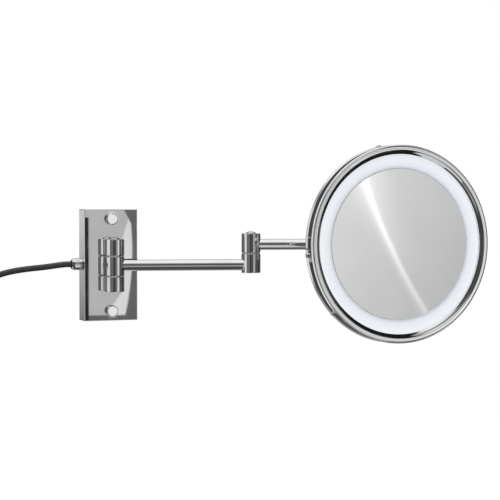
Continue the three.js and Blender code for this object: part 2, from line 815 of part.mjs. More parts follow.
const bandInnerRadius = headRadius - bandWidth;
const lightOuterRadius = bandInnerRadius - bevelWidth;
const glassRadius = lightOuterRadius - lightWidth;
const skirtInner = headRadius - skirtWall;
const housingRadius = skirtInner - gap;
const seatRadius = housingRadius - housingWall - seatClearance;
const channelOuterRadius = seatRadius - channelInset;
const channelInnerRadius = glassRadius + channelClearance;
const boardOuterRadius = channelOuterRadius - channelWall - boardOuterInset;
const boardInnerRadius = channelInnerRadius + channelWall + boardInnerInset;
const gasketFront = lipDepth + gap;
const diffuserFront = gasketFront + gasketThickness + gap;
const diffuserBack = diffuserFront + diffuserThickness;
const channelFront = diffuserBack + gap;
const channelBack = channelFront + channelDepth;
const boardBack = channelBack - channelWall - gap;
const glassSag = glassRadius ** 2 / (2 * glassCurveRadius);

// Depth profiles are written front to back as [radius, depth].
const byDepth = (profile) => profile.map(([radius, depth]) => [radius, -depth]);

const screwAngles = (count, first) =>
  Array.from({ length: count }, (_, i) => degrees(first + (360 / count) * i));

// A rod that points out from the head's axis at an angle and a depth.
function radialRod(radius, from, to, angle, depth, facets) {
  return rod(radius, from, to, facets).rotateY(Math.PI / 2).rotateZ(angle).translate(0, 0, -depth);
}

function bezelRing() {
  const band = ring(byDepth([
    [headRadius, skirtDepth],
    [headRadius, 2.4],
    [headRadius - 0.5, 1.1],
    [headRadius - 1.6, 0.3],
    [headRadius - 3.4, 0],
    [bandInnerRadius + 1.6, 0.2],
    [bandInnerRadius, 1.2],
    [lightOuterRadius, lipDepth - 0.6],
    [lightOuterRadius, lipDepth],
    [skirtInner, lipDepth],
    [skirtInner, skirtDepth],
  ]), headFacets);
  const holes = screwAngles(rimScrewCount, rimScrewFirst).map((angle) => {
    const radius = rimScrewRadius + screwPlay;
    return radialRod(radius, skirtInner - 2, headRadius + 2, angle, rimScrewDepth, 10);
  });
  const window = radialRod(
    buttonRadius + buttonPlay,
    skirtInner - 2,
    headRadius + 2,
    degrees(switchAngle),
    switchDepth,
    smallFacets,
  );
  return cut(band, ...holes, window);
}

function flangeScrewPlaces() {
  return screwAngles(flangeScrewCount, 90).map((angle) => [
    flangeScrewCircle * Math.cos(angle),
    flangeScrewCircle * Math.sin(angle),
  ]);
}

// The shallow dome of the housing's back, from its side inward: the distance from the housing's
// side, and the distance forward of the flat at its centre.
const domeOutside = [[2.3, 6.2], [7.9, 4.4], [17.9, 2.8], [47.9, 1]];
const domeInside = [[3.5, 5.8], [8.5, 4.4], [18.2, 2.8], [48, 1]];

function backHousing() {
  const inner = housingRadius - housingWall;
  const innerDepth = housingDepth - housingWall;
  const mouth = gasketFront + gasketThickness + gap;
  const sideEnd = skirtDepth - skirtOverhang;
  const shell = turned(byDepth([
    [0, housingDepth],
    [housingFlatRadius, housingDepth],
    ...domeOutside.map(([inward, rise]) => [housingRadius - inward, housingDepth - rise]).reverse(),
    [housingRadius, sideEnd],
    [housingRadius, mouth],
    [inner, mouth],
    [inner, sideEnd],
    ...domeInside.map(([inward, rise]) => [housingRadius - inward, innerDepth - rise]),
    [housingFlatRadius, innerDepth],
    [0, innerDepth],
  ]), headFacets);
  const holes = screwAngles(rimScrewCount, rimScrewFirst).map((angle) => {
    const radius = rimScrewRadius + screwPlay;
    return radialRod(radius, inner - 2, housingRadius + 1, angle, rimScrewDepth, 10);
  });
  holes.push(radialRod(
    buttonStemRadius + buttonPlay,
    inner - 2,
    housingRadius + 1,
    degrees(switchAngle),
    switchDepth,
    screwFacets,
  ));
  for (const [x, y] of flangeScrewPlaces()) {
    const hole = rod(flangeScrewRadius + screwPlay, -housingDepth - 1, -innerDepth + 1, 10);
    holes.push(hole.translate(x, y, 0));
  }
  return cut(shell, ...holes);
}

function mirrorGlass() {
  const rings = 5;
  const front = [];
  const back = [];
  for (let i = 0; i <= rings; i += 1) {
    const radius = (glassRadius * i) / rings;
    const depth = diffuserFront + glassSag * (1 - (radius / glassRadius) ** 2);
    front.push([radius, depth]);
    back.unshift([radius, depth + glassThickness]);
  }
  return turned(byDepth([...front, ...back]), headFacets);
}

// The white trough that holds the board and throws its light forward.
function lightChannel() {
  const floor = channelBack - channelWall;
  return ring(byDepth([
    [channelInnerRadius, channelFront],
    [channelInnerRadius, channelBack],
    [channelOuterRadius, channelBack],
    [channelOuterRadius, channelFront],
    [channelOuterRadius - channelWall, channelFront],
    [channelOuterRadius - channelWall, floor],
    [channelInnerRadius + channelWall, floor],
    [channelInnerRadius + channelWall, channelFront],
  ]), headFacets);
}

function ledBoard() {
  const board = sleeve(
    boardInnerRadius,
    boardOuterRadius,
    -boardBack,
    -boardBack + boardThickness,
    headFacets,
  );
  const half = ledSize / 2;
  const middle = (boardInnerRadius + boardOuterRadius) / 2;
  const base = -boardBack + boardThickness / 2;
  const top = -boardBack + boardThickness + ledHeight;
  const leds = screwAngles(ledCount, 0).map((angle) =>
    block(middle - half, middle + half, -half, half, base, top).rotateZ(angle));
  return join(board, ...leds);
}

function mirrorBacking() {
  const front = diffuserFront + glassThickness + glassSag + gap;
  return rod(glassRadius - backingInset, -front - backingThickness, -front, headFacets);
}

function rimScrew(angle) {
  const seatAt = headRadius + gap;
  const end = housingRadius - housingWall - gap;
  const depth = rimScrewDepth;
  return join(
    radialRod(rimScrewHeadRadius, seatAt, seatAt + rimScrewHeadHeight, angle, depth, screwFacets),
    radialRod(rimScrewRadius, end, seatAt + rimScrewHeadHeight / 2, angle, depth, 10),
  );
}

// The sprung push button in the rim, and the switch behind it.
function switchButton() {
  const angle = degrees(switchAngle);
  const shoulder = skirtInner + gap;
  const end = housingRadius - housingWall - gap;
  return join(
    radialRod(buttonRadius, shoulder, headRadius + buttonProud, angle, switchDepth, smallFacets),
    radialRod(buttonStemRadius, end, shoulder + 0.5, angle, switchDepth, screwFacets),
  );
}

function switchBody() {
  const top = housingRadius - housingWall - gap - buttonTravel - gap;
  const [y, z] = [switchBodySize.y / 2, switchBodySize.z / 2];
  const body = block(top - switchBodySize.x, top, -y, y, -switchDepth - z, -switchDepth + z);
  return body.rotateZ(degrees(switchAngle));
}

// The tongue between the fork's cheeks, with the round flange that carries the head.
function tiltBracket() {
  const t = tongueHalfWidth;
  const back = -flangeDistance;
  const disc = rodAlongY(flangeRadius, back - flangeThickness, back, 0, 0, barrelFacets);
  const tongue = block(-t, t, back - flangeThickness / 2, 0, -cheekRadius, cheekRadius);
  const nose = rodAlongX(cheekRadius, -t, t, 0, 0, smallFacets);
  const holes = flangeScrewPlaces().map(([x, z]) =>
    rodAlongY(flangeScrewRadius + screwPlay, back - flangeThickness - 1, back + 1, x, z, 10));
  const pinHole = rodAlongX(tiltPinRadius + pinPlay, -t - 1, t + 1, 0, 0, screwFacets);
  return cut(join(disc, tongue, nose), pinHole, ...holes);
}

function flangeScrew(x, z) {
  const seatAt = -flangeDistance + gap;
  const end = housingBackY - housingWall - flangeScrewEnd;
  const headTop = seatAt + flangeScrewHeadHeight;
  return join(
    rodAlongY(flangeScrewHeadRadius, seatAt, headTop, x, z, screwFacets),
    rodAlongY(flangeScrewRadius, end, headTop - flangeScrewHeadHeight / 2, x, z, 10),
  );
}

function buildHead() {
  const seatInner = lightOuterRadius + seatOverlap;
  const gasketBack = gasketFront + gasketThickness;
  const gasket = sleeve(seatInner, seatRadius, -gasketBack, -gasketFront, headFacets);
  const diffuser = sleeve(
    glassRadius + gap,
    seatRadius,
    -diffuserBack,
    -diffuserFront,
    headFacets,
  );
  addPart(head, 'tilt_bracket', tiltBracket(), chrome());
  flangeScrewPlaces().forEach(([x, z], i) => {
    addPart(head, `flange_screw_${i + 1}`, flangeScrew(x, z), steel());
  });
  addPart(face, 'back_housing', backHousing(), chrome());
  addPart(face, 'bezel_ring', bezelRing(), chrome());
  addPart(face, 'glass_gasket', gasket, blackRubber());
  addPart(face, 'diffuser_ring', diffuser, frosted());
  addPart(face, 'mirror_glass', mirrorGlass(), silvered());
  addPart(face, 'mirror_backing', mirrorBacking(), whitePlastic());
  addPart(face, 'light_channel', lightChannel(), whitePlastic());
  addPart(face, 'led_board', ledBoard(), boardGreen());
  screwAngles(rimScrewCount, rimScrewFirst).forEach((angle, i) => {
    addPart(face, `rim_screw_${i + 1}`, rimScrew(angle), chrome());
  });
  addPart(face, 'switch_body', switchBody(), blackRubber());
  addPart(face, 'switch_button', switchButton(), chrome());
}

buildWallBox();
buildCord();
buildLowerArm();
buildUpperArm();
buildSwivel();
buildHead();

export default assembly;
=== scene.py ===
import math

import bmesh
import bpy
from mathutils import Matrix, Vector


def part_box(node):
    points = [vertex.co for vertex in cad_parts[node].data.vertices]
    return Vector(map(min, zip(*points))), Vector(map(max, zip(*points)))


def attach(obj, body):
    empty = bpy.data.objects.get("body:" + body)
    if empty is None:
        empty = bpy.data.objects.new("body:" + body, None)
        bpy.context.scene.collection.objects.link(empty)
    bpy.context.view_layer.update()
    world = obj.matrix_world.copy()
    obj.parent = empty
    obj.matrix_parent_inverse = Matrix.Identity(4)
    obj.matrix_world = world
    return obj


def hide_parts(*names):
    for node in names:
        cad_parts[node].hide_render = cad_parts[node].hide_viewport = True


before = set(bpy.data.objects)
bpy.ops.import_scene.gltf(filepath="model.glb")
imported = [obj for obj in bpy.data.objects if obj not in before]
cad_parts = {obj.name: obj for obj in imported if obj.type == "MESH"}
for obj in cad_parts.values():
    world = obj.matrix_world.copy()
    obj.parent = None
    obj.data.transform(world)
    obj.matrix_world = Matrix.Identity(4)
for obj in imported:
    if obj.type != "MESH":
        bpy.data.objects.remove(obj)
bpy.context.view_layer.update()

# Lengths in this script are in millimetres in the row frame; put() turns them into metres.
# The wall is the plane y = 0, +Z is up and the mirror faces -Y.
MM = 0.001
GAP = 0.3  # between CAD pieces that touch

# ---------------------------------------------------------------- places from the frame


def box(node):
    low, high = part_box(node)
    return Vector(low) / MM, Vector(high) / MM


def middle(node):
    low, high = box(node)
    return (low + high) / 2


WALL_AXIS = middle("wall_hinge_pin").xy
ELBOW_AXIS = middle("elbow_pin").xy
PAN_AXIS = middle("pan_pin").xy
PAN_MIDDLE_Z = middle("pan_pin").z
TILT_AXIS = middle("tilt_screw").yz
HEAD_X = middle("bezel_ring").x
HEAD_Z = middle("bezel_ring").z
RIM_Y = box("bezel_ring")[0].y
HEAD_RADIUS = box("bezel_ring")[1].x - HEAD_X
BARREL_RADIUS = box("wall_knuckle_lower")[1].x
TUBE_RADIUS = box("lower_arm_tube")[1].z
COVER_LOW, COVER_HIGH = box("box_cover")
PIN_BORE = 4.3  # of every barrel and washer
TUBE_WALL = 1.5
SHEET = 1.5  # of the wall box's cover and the head's housing
CHEEK_RADIUS = 5.5  # of the swivel's cheeks and the tongue between them
TONGUE_HALF_WIDTH = 5.5

# ---------------------------------------------------------------- camera

CAMERA_LOOK = Vector((158.593, -36.0, 15.13))
CAMERA_DISTANCE = 1567.0
CAMERA_AZIMUTH = math.radians(-22.055)
CAMERA_ELEVATION = math.radians(1.589)


def add_camera():
    data = bpy.data.cameras.new("camera")
    data.lens = 99.9
    data.sensor_width = 36.0
    data.clip_start = 0.05
    data.clip_end = 50.0
    camera = bpy.data.objects.new("camera", data)
    bpy.context.scene.collection.objects.link(camera)
    flat = math.cos(CAMERA_ELEVATION)
    away = Vector((
        math.sin(CAMERA_AZIMUTH) * flat,
        -math.cos(CAMERA_AZIMUTH) * flat,
        math.sin(CAMERA_ELEVATION),
    ))
    camera.location = (CAMERA_LOOK + away * CAMERA_DISTANCE) * MM
    camera.rotation_mode = "QUATERNION"
    camera.rotation_quaternion = (-away).to_track_quat("-Z", "Y")
    bpy.context.scene.camera = camera


add_camera()

# ---------------------------------------------------------------- node graphs


class Graph:
    """Adds nodes to a tree; an input may be a number or another node's output."""

    def __init__(self, tree):
        self.tree = tree

    def node(self, kind, **settings):
        node = self.tree.nodes.new(kind)
        for key, value in settings.items():
            setattr(node, key, value)
        return node

    def feed(self, socket, value):
        if isinstance(value, bpy.types.NodeSocket):
            self.tree.links.new(value, socket)
        else:
            socket.default_value = value

    def math(self, operation, *values):
        node = self.node("ShaderNodeMath", operation=operation)
        for socket, value in zip(node.inputs, values):
            self.feed(socket, value)
        return node.outputs[0]

    def spread(self, value, low, high, to_low=0.0, to_high=1.0, smooth=False):
        """value from low..high to to_low..to_high, held at the ends."""
        kind = "SMOOTHSTEP" if smooth else "LINEAR"
        node = self.node("ShaderNodeMapRange", interpolation_type=kind)
        for socket, number in zip(node.inputs, (value, low, high, to_low, to_high)):
            self.feed(socket, number)
        return node.outputs[0]

    def ramp(self, value, stops):
        """A colour ramp through (position, grey or colour) stops."""
        node = self.node("ShaderNodeValToRGB")
        elements = node.color_ramp.elements
        while len(elements) < len(stops):
            elements.new(0.5)
        for element, (place, colour) in zip(elements, stops):
            element.position = place
            if not isinstance(colour, tuple):
                colour = (colour, colour, colour)
            element.color = (*colour, 1.0)
        self.feed(node.inputs[0], value)
        return node.outputs[0]

    def mix(self, share, a, b):
        node = self.node("ShaderNodeMix", data_type="RGBA")
        for socket, value in ((0, share), (6, a), (7, b)):
            if isinstance(value, (int, float)) and socket:
                value = (value, value, value, 1.0)
            self.feed(node.inputs[socket], value)
        return node.outputs[2]


# ---------------------------------------------------------------- studio

# Light seen from the object at eye level, by azimuth in degrees: 0 is straight out from the wall
# and 90 is towards +X. A wide softbox stands on the left, dark flags on both sides of the camera.
LEVEL_LIGHT = [
    (-180, 0.15), (-158, 0.07), (-148, 0.04), (-134, 0.10), (-124, 0.34), (-114, 0.72),
    (-86, 0.78), (-76, 0.50), (-67, 0.09), (-52, 0.16), (-38, 0.15), (-30, 0.04),
    (-20, 0.03), (-12, 0.13), (-3, 0.06), (5, 0.06), (10, 0.66), (13, 0.36),
    (20, 0.14), (34, 0.30), (38, 0.14), (46, 0.10), (54, 0.03), (62, 0.16),
    (68, 0.16), (75, 0.03), (92, 0.03), (102, 0.09), (114, 0.12), (126, 0.05),
    (150, 0.12), (180, 0.15),
]
# Light away from eye level, by elevation in degrees: a large overhead box and a dark floor.
HEIGHT_LIGHT = [
    (-90, 0.07), (-52, 0.05), (-42, 0.10), (-30, 0.24), (-12, 0.42), (-6, 0.36),
    (6, 0.08), (20, 0.08), (30, 0.16), (40, 0.42), (50, 0.90), (90, 0.95),
]


# The dark edge and the fold of the card in front of the wall box, and the strip light's middle in
# the room beyond it, as azimuths in degrees.
CARD_EDGE = 17.2
CARD_FOLD = 16.75
CARD_LEFT = 15.42
NUT_LAMPS = [(16.38, -0.28), (16.38, -4.09)]  # azimuth and elevation
NUT_LAMP_RADIUS = 0.26
ROOM_CENTRE = (27.8, -0.9)
ROOM_REACH = (5.9, 5.3)
STRIP_MIDDLE = 27.87


class Studio(Graph):
    """The surroundings as a function of direction, given by azimuth and elevation."""

    def __init__(self, tree):
        super().__init__(tree)
        axes = self.node("ShaderNodeSeparateXYZ")
        self.feed(axes.inputs[0], self.node("ShaderNodeTexCoord").outputs["Generated"])
        x, y, z = axes.outputs
        around = self.math("ARCTAN2", x, self.math("MULTIPLY", y, -1.0))
        # How far a direction leans along the arms, which lie 14 degrees out from the wall.
        self.along = self.math("ADD", self.math("MULTIPLY", x, 0.970),
                               self.math("MULTIPLY", y, -0.242))
        self.azimuth = self.math("DEGREES", around)
        self.from_back = self.math("DEGREES", self.math("ARCCOSINE", y))
        self.elevation = self.math("DEGREES", self.math("ARCSINE", z))

    def line(self, value, slope, offset):
        return self.math("MULTIPLY_ADD", value, slope, offset)

    def above(self, value, edge, soft):
        """1 where the value is over the edge, 0 below it, with a soft step."""
        return self.spread(value, edge - soft, edge + soft, smooth=True)

    def between(self, value, low, high, soft):
        return self.math("MULTIPLY", self.above(value, low, soft),
                         self.spread(value, high - soft, high + soft, 1.0, 0.0, smooth=True))

    def away_from(self, centre, reach):
        """How far a direction is from a centre, as a share of the reach across and up."""
        across = self.line(self.azimuth, 1 / reach[0], -centre[0] / reach[0])
        up = self.line(self.elevation, 1 / reach[1], -centre[1] / reach[1])
        return self.math("SQRT", self.math("ADD", self.math("MULTIPLY", across, across),
                                           self.math("MULTIPLY", up, up)))

    def shown(self, grey):
        """Light that a polished surface shows as this display grey."""
        return self.math("MULTIPLY", self.math("POWER", grey, 2.2), 1.08)

    def card(self):
        """A grey card in front of the wall box: a bright inner edge and a dark surround."""
        azimuth, elevation = self.azimuth, self.elevation
        upper = self.math("MAXIMUM", self.line(elevation, 0.294, 0.362), 0.0)
        fold = self.math("MINIMUM", self.math("ADD", upper, CARD_FOLD),
                         self.line(elevation, 0.69, 19.034))
        bright = self.above(self.math("SUBTRACT", azimuth, fold), 0.02, 0.05)
        bright = self.math("MULTIPLY", bright, self.above(elevation, -4.24, 0.03))
        tone = self.mix(bright, 0.485, 0.74)
        # The dark surround on the right, with a slanting upper corner, and below.
        bow = self.line(elevation, 1.0, 1.58)
        edge = self.line(self.math("MULTIPLY", bow, bow), -0.041, CARD_EDGE)
        corner = self.math("MAXIMUM", self.line(elevation, 0.41, 0.2), 0.0)
        past = self.math("ADD", self.math("SUBTRACT", azimuth, edge), corner)
        tone = self.mix(self.above(past, 0.0, 0.035), tone, 0.135)
        tone = self.mix(self.above(elevation, -4.26, 0.03), 0.125, tone)
        left = self.math("MAXIMUM", self.above(azimuth, CARD_LEFT, 0.02),
                         self.above(elevation, -0.24, 0.02))
        tone = self.mix(left, 0.02, tone)
        # Two small lamps, which the flat faces of the cap nuts show.
        for lamp in NUT_LAMPS:
            away = self.away_from(lamp, (1.0, 1.0))
            tone = self.mix(self.above(away, NUT_LAMP_RADIUS, 0.01), 0.86, tone)
        return tone

    def room(self):
        """The pale room that the mirror shows, with a long curved strip light."""
        azimuth, elevation = self.azimuth, self.elevation
        grey = self.math("ADD", self.line(azimuth, 2.3, 131.0), self.line(elevation, -1.9, 0.0))
        bend = self.line(self.math("MULTIPLY", elevation, elevation), -0.0194, STRIP_MIDDLE)
        centre = self.math("ADD", bend, self.math("MULTIPLY", elevation, -0.758))
        strip = self.math("SUBTRACT", azimuth, centre)
        upper = self.spread(elevation, 0.5, -4.2)
        fading = self.math("MULTIPLY", upper, upper)
        glow = self.spread(strip, 0.2, 2.5, 1.0, 0.0)
        glow = self.math("MULTIPLY", self.math("MULTIPLY", glow, glow), self.above(strip, 0.1, 0.2))
        grey = self.math("ADD", grey, self.math("MULTIPLY", self.math("MULTIPLY", glow, fading), 42))
        haze = self.spread(strip, -3.0, -0.2)
        haze = self.math("MULTIPLY", self.math("MULTIPLY", haze, haze),
                         self.spread(strip, -0.2, 0.2, 1.0, 0.0))
        grey = self.math("ADD", grey, self.math("MULTIPLY", self.math("MULTIPLY", haze, upper), 30))
        side = self.math("MAXIMUM", self.math("MULTIPLY", strip, 0.72),
                         self.math("MULTIPLY", strip, -1.35))
        core = self.spread(side, 0.02, 0.33, 1.0, 0.0, smooth=True)
        strength = self.spread(elevation, 2.6, -1.6, 18, 36)
        grey = self.math("ADD", grey, self.math("MULTIPLY", core, strength))
        shoulder = self.spread(side, 0.25, 0.60, 1.0, 0.0, smooth=True)
        grey = self.math("ADD", grey, self.math("MULTIPLY", shoulder, 8))
        return self.shown(self.math("DIVIDE", grey, 255))

    def light(self):
        azimuth, elevation = self.azimuth, self.elevation
        level = self.ramp(self.spread(azimuth, -180, 180),
                          [((degrees + 180) / 360, light) for degrees, light in LEVEL_LIGHT])
        height = self.ramp(self.spread(elevation, -90, 90),
                           [((degrees + 90) / 180, light) for degrees, light in HEIGHT_LIGHT])
        level = self.mix(self.between(azimuth, 14.5, 19.0, 0.3), level, self.card())
        # A pale floor right of the camera, with black flags on both sides of it.
        floor = self.math("MULTIPLY", self.between(self.along, 0.14, 0.58, 0.008),
                          self.between(elevation, -64, -22, 4))
        height = self.mix(floor, height, 0.62)
        left = self.math("MULTIPLY", self.between(azimuth, -80, -14, 2),
                         self.between(elevation, -80, 42, 3))
        height = self.mix(left, height, 0.05)
        # Behind the mirror: a grey room with a dark ring round its middle.
        behind = self.math("MULTIPLY", self.above(self.math("ABSOLUTE", azimuth), 128, 4),
                           self.between(elevation, -66, 40, 5))
        height = self.mix(behind, height, self.spread(self.from_back, 34, 46, 0.05, 0.34, smooth=True))
        # A tall softbox on the left, which draws the bright line round the rim.
        tall = self.math("MULTIPLY", self.between(azimuth, -122, -82, 4),
                         self.between(elevation, -58, 60, 6))
        height = self.mix(tall, height, 0.80)
        flag = self.math("MULTIPLY", self.between(azimuth, 29, 112, 3),
                         self.between(elevation, -78, 74, 4))
        height = self.mix(flag, height, 0.012)
        off_level = self.math("MAXIMUM", self.spread(elevation, 5, 22, smooth=True),
                              self.spread(elevation, -6, -10, smooth=True))
        tone = self.mix(off_level, level, height)
        tone = self.mix(self.spread(self.from_back, 8, 17, 1.0, 0.0, smooth=True), tone, 0.42)
        # A wash of light that the side of the wall box shows, brighter towards the top.
        wash = self.math("MULTIPLY", self.between(azimuth, -172, -161, 0.8),
                         self.between(elevation, -5.2, 1.0, 0.3))
        tone = self.mix(wash, tone, self.spread(elevation, -4.5, 0.0, 0.22, 0.62))
        # The room that the mirror shows, within a brighter surround that its flat rim shows.
        away = self.away_from(ROOM_CENTRE, ROOM_REACH)
        surround = self.math("MULTIPLY", self.spread(away, 1.7, 2.2, 1.0, 0.0, smooth=True),
                             self.above(azimuth, 19.3, 0.3))
        tone = self.mix(surround, tone, 0.74)
        return self.mix(self.above(away, 1.08, 0.07), self.room(), tone)


def add_studio():
    world = bpy.data.worlds.new("studio")
    bpy.context.scene.world = world
    world.use_nodes = True
    world.node_tree.nodes.clear()
    studio = Studio(world.node_tree)
    seen = studio.node("ShaderNodeLightPath").outputs["Is Camera Ray"]
    background = studio.node("ShaderNodeBackground")
    studio.feed(background.inputs["Color"], studio.mix(seen, studio.light(), 1.0))
    out = studio.node("ShaderNodeOutputWorld")
    studio.feed(out.inputs["Surface"], background.outputs[0])


def add_soft_light():
    """A broad lamp above and in front, which lights the matt pieces."""
    data = bpy.data.lights.new("softbox", "AREA")
    data.shape = "DISK"
    data.size = 1.6
    data.energy = 22.0
    lamp = bpy.data.objects.new("softbox", data)
    lamp.location = (-0.5, -1.5, 1.6)
    lamp.rotation_mode = "QUATERNION"
    lamp.rotation_quaternion = Vector((-0.6, -1.4, 1.6)).to_track_quat("Z", "Y")
    lamp.visible_glossy = False
    bpy.context.scene.collection.objects.link(lamp)


add_studio()
add_soft_light()
bpy.context.scene.view_settings.view_transform = "Standard"

# ---------------------------------------------------------------- materials


class Finish(Graph):
    """A Principled material whose colour, roughness and bump come from procedural textures."""

    def __init__(self, name, **sockets):
        self.material = bpy.data.materials.new(name)
        self.material.use_nodes = True
        super().__init__(self.material.node_tree)
        self.shader = self.tree.nodes["Principled BSDF"]
        self.place = self.node("ShaderNodeTexCoord").outputs["Object"]
        for key, value in sockets.items():
            self.shader.inputs[key.replace("_", " ")].default_value = value

    def stretched(self, x, y, z):
        node = self.node("ShaderNodeMapping")
        self.feed(node.inputs["Vector"], self.place)
        node.inputs["Scale"].default_value = (x, y, z)
        return node.outputs[0]

    def noise(self, scale, detail=3.0, where=None):
        node = self.node("ShaderNodeTexNoise")
        self.feed(node.inputs["Vector"], where or self.place)
        node.inputs["Scale"].default_value = scale
        node.inputs["Detail"].default_value = detail
        return node.outputs["Fac"]

    def cells(self, scale):
        node = self.node("ShaderNodeTexVoronoi")
        self.feed(node.inputs["Vector"], self.place)
        node.inputs["Scale"].default_value = scale
        return node.outputs["Distance"]

    def colour(self, value, stops):
        self.feed(self.shader.inputs["Base Color"], self.ramp(value, stops))

    def roughness(self, value, low, high):
        self.feed(self.shader.inputs["Roughness"], self.spread(value, 0.3, 0.7, low, high))

    def bump(self, value, strength, depth):
        node = self.node("ShaderNodeBump")
        node.inputs["Strength"].default_value = strength
        node.inputs["Distance"].default_value = depth * MM
        self.feed(node.inputs["Height"], value)
        self.feed(self.shader.inputs["Normal"], node.outputs[0])


def chrome():
    """Polished plating: a faint uneven haze from wiping, and hairline polish marks."""
    f = Finish("polished_chrome", Metallic=1.0)
    haze = f.noise(38.0, 4.0)
    marks = f.noise(900.0, 2.0, f.stretched(1.0, 1.0, 0.06))
    f.colour(haze, [(0.30, (0.86, 0.865, 0.875)), (0.70, (0.93, 0.935, 0.94))])
    f.roughness(f.math("ADD", f.math("MULTIPLY", haze, 0.6), f.math("MULTIPLY", marks, 0.4)),
                0.004, 0.02)
    f.bump(marks, 0.01, 0.01)
    return f.material


def steel():
    """Zinc-plated steel with rolling marks along Z and a cloudy passivation."""
    f = Finish("zinc_steel", Metallic=1.0)
    clouds = f.noise(60.0, 5.0)
    grain = f.noise(1600.0, 3.0, f.stretched(1.0, 1.0, 0.04))
    f.colour(f.math("ADD", f.math("MULTIPLY", clouds, 0.6), f.math("MULTIPLY", grain, 0.4)),
             [(0.32, (0.45, 0.46, 0.47)), (0.68, (0.66, 0.67, 0.68))])
    f.roughness(grain, 0.24, 0.42)
    f.bump(grain, 0.25, 0.03)
    return f.material


def brass():
    f = Finish("brass_nut", Metallic=1.0)
    clouds = f.noise(140.0, 4.0)
    f.colour(clouds, [(0.3, (0.55, 0.38, 0.16)), (0.7, (0.78, 0.58, 0.28))])
    f.roughness(f.noise(700.0), 0.22, 0.38)
    f.bump(f.noise(1500.0), 0.15, 0.02)
    return f.material


def nylon():
    f = Finish("natural_nylon", Subsurface_Weight=0.25, Subsurface_Scale=0.002)
    f.shader.inputs["Subsurface Radius"].default_value = (1.0, 0.9, 0.8)
    mottle = f.noise(260.0, 4.0)
    f.colour(mottle, [(0.3, (0.72, 0.72, 0.70)), (0.7, (0.82, 0.82, 0.80))])
    f.roughness(mottle, 0.38, 0.52)
    f.bump(f.noise(1800.0), 0.12, 0.02)
    return f.material


def moulded(name, dark, light, low, high, grain):
    """Moulded plastic or rubber with a fine spark-eroded grain."""
    f = Finish(name)
    clouds = f.noise(70.0, 4.0)
    f.colour(clouds, [(0.3, dark), (0.7, light)])
    f.roughness(f.noise(900.0, 2.0), low, high)
    f.bump(f.cells(1500.0), grain, 0.05)
    return f.material


def sheath():
    """The cord's dark grey PVC: slightly glossy, faintly dimpled, dusty in patches."""
    f = Finish("cord_pvc", Coat_Weight=0.15, Coat_Roughness=0.3)
    dust = f.noise(90.0, 5.0)
    f.colour(dust, [(0.30, (0.040, 0.041, 0.043)), (0.72, (0.072, 0.073, 0.076))])
    f.roughness(dust, 0.34, 0.50)
    f.bump(f.noise(1100.0, 3.0), 0.20, 0.05)
    return f.material


def frosted():
    """The lit acrylic ring: brightest along its middle, greyer where its edges meet the glass."""
    f = Finish("lit_acrylic", Roughness=0.5, Emission_Strength=0.80)
    centre = f.node("ShaderNodeVectorMath", operation="SUBTRACT")
    f.feed(centre.inputs[0], f.place)
    centre.inputs[1].default_value = (HEAD_X * MM, 0.0, HEAD_Z * MM)
    level = f.node("ShaderNodeVectorMath", operation="MULTIPLY")
    f.feed(level.inputs[0], centre.outputs[0])
    level.inputs[1].default_value = (1.0, 0.0, 1.0)
    length = f.node("ShaderNodeVectorMath", operation="LENGTH")
    f.feed(length.inputs[0], level.outputs[0])
    radius = f.math("DIVIDE", length.outputs["Value"], MM)
    grain = f.noise(420.0, 4.0)
    wander = f.math("MULTIPLY", f.math("SUBTRACT", grain, 0.5), 1.2)
    place = f.spread(f.math("ADD", radius, wander), 80.0, 100.0)
    lit = f.ramp(place, [
        (0.08, (0.36, 0.38, 0.41)),
        (0.16, (0.62, 0.65, 0.70)),
        (0.30, (0.80, 0.84, 0.90)),
        (0.55, (0.88, 0.91, 0.96)),
        (0.80, (0.90, 0.93, 0.97)),
        (0.90, (0.84, 0.87, 0.92)),
    ])
    f.feed(f.shader.inputs["Emission Color"], lit)
    f.colour(grain, [(0.3, (0.28, 0.29, 0.30)), (0.7, (0.32, 0.33, 0.34))])
    f.bump(grain, 0.08, 0.02)
    return f.material


def silvered():
    """Silvered glass, with the faintest cloud of dust and wiping."""
    f = Finish("silvered_glass", Metallic=1.0)
    film = f.noise(26.0, 5.0)
    f.colour(film, [(0.3, (0.90, 0.905, 0.91)), (0.7, (0.935, 0.94, 0.945))])
    f.roughness(film, 0.004, 0.014)
    return f.material


def circuit():
    """White solder mask over copper traces."""
    f = Finish("led_board_mask")
    traces = f.cells(420.0)
    f.colour(traces, [(0.10, (0.55, 0.60, 0.52)), (0.16, (0.80, 0.82, 0.80))])
    f.roughness(f.noise(800.0), 0.30, 0.45)
    f.bump(traces, 0.2, 0.03)
    return f.material


SLOTS = {
    "chrome": chrome(),
    "steel": steel(),
    "brass": brass(),
    "nylon": nylon(),
    "white_plastic": moulded("white_abs", (0.70, 0.70, 0.68), (0.78, 0.78, 0.77), 0.35, 0.5, 0.2),
    "black_rubber": moulded("black_rubber", (0.012, 0.012, 0.013), (0.03, 0.03, 0.031),
                            0.5, 0.72, 0.35),
    "cord_sheath": sheath(),
    "frosted": frosted(),
    "mirror": silvered(),
    "circuit_board": circuit(),
}

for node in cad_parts.values():
    for slot in node.material_slots:
        slot.material = SLOTS[slot.material.name]

# ---------------------------------------------------------------- meshes


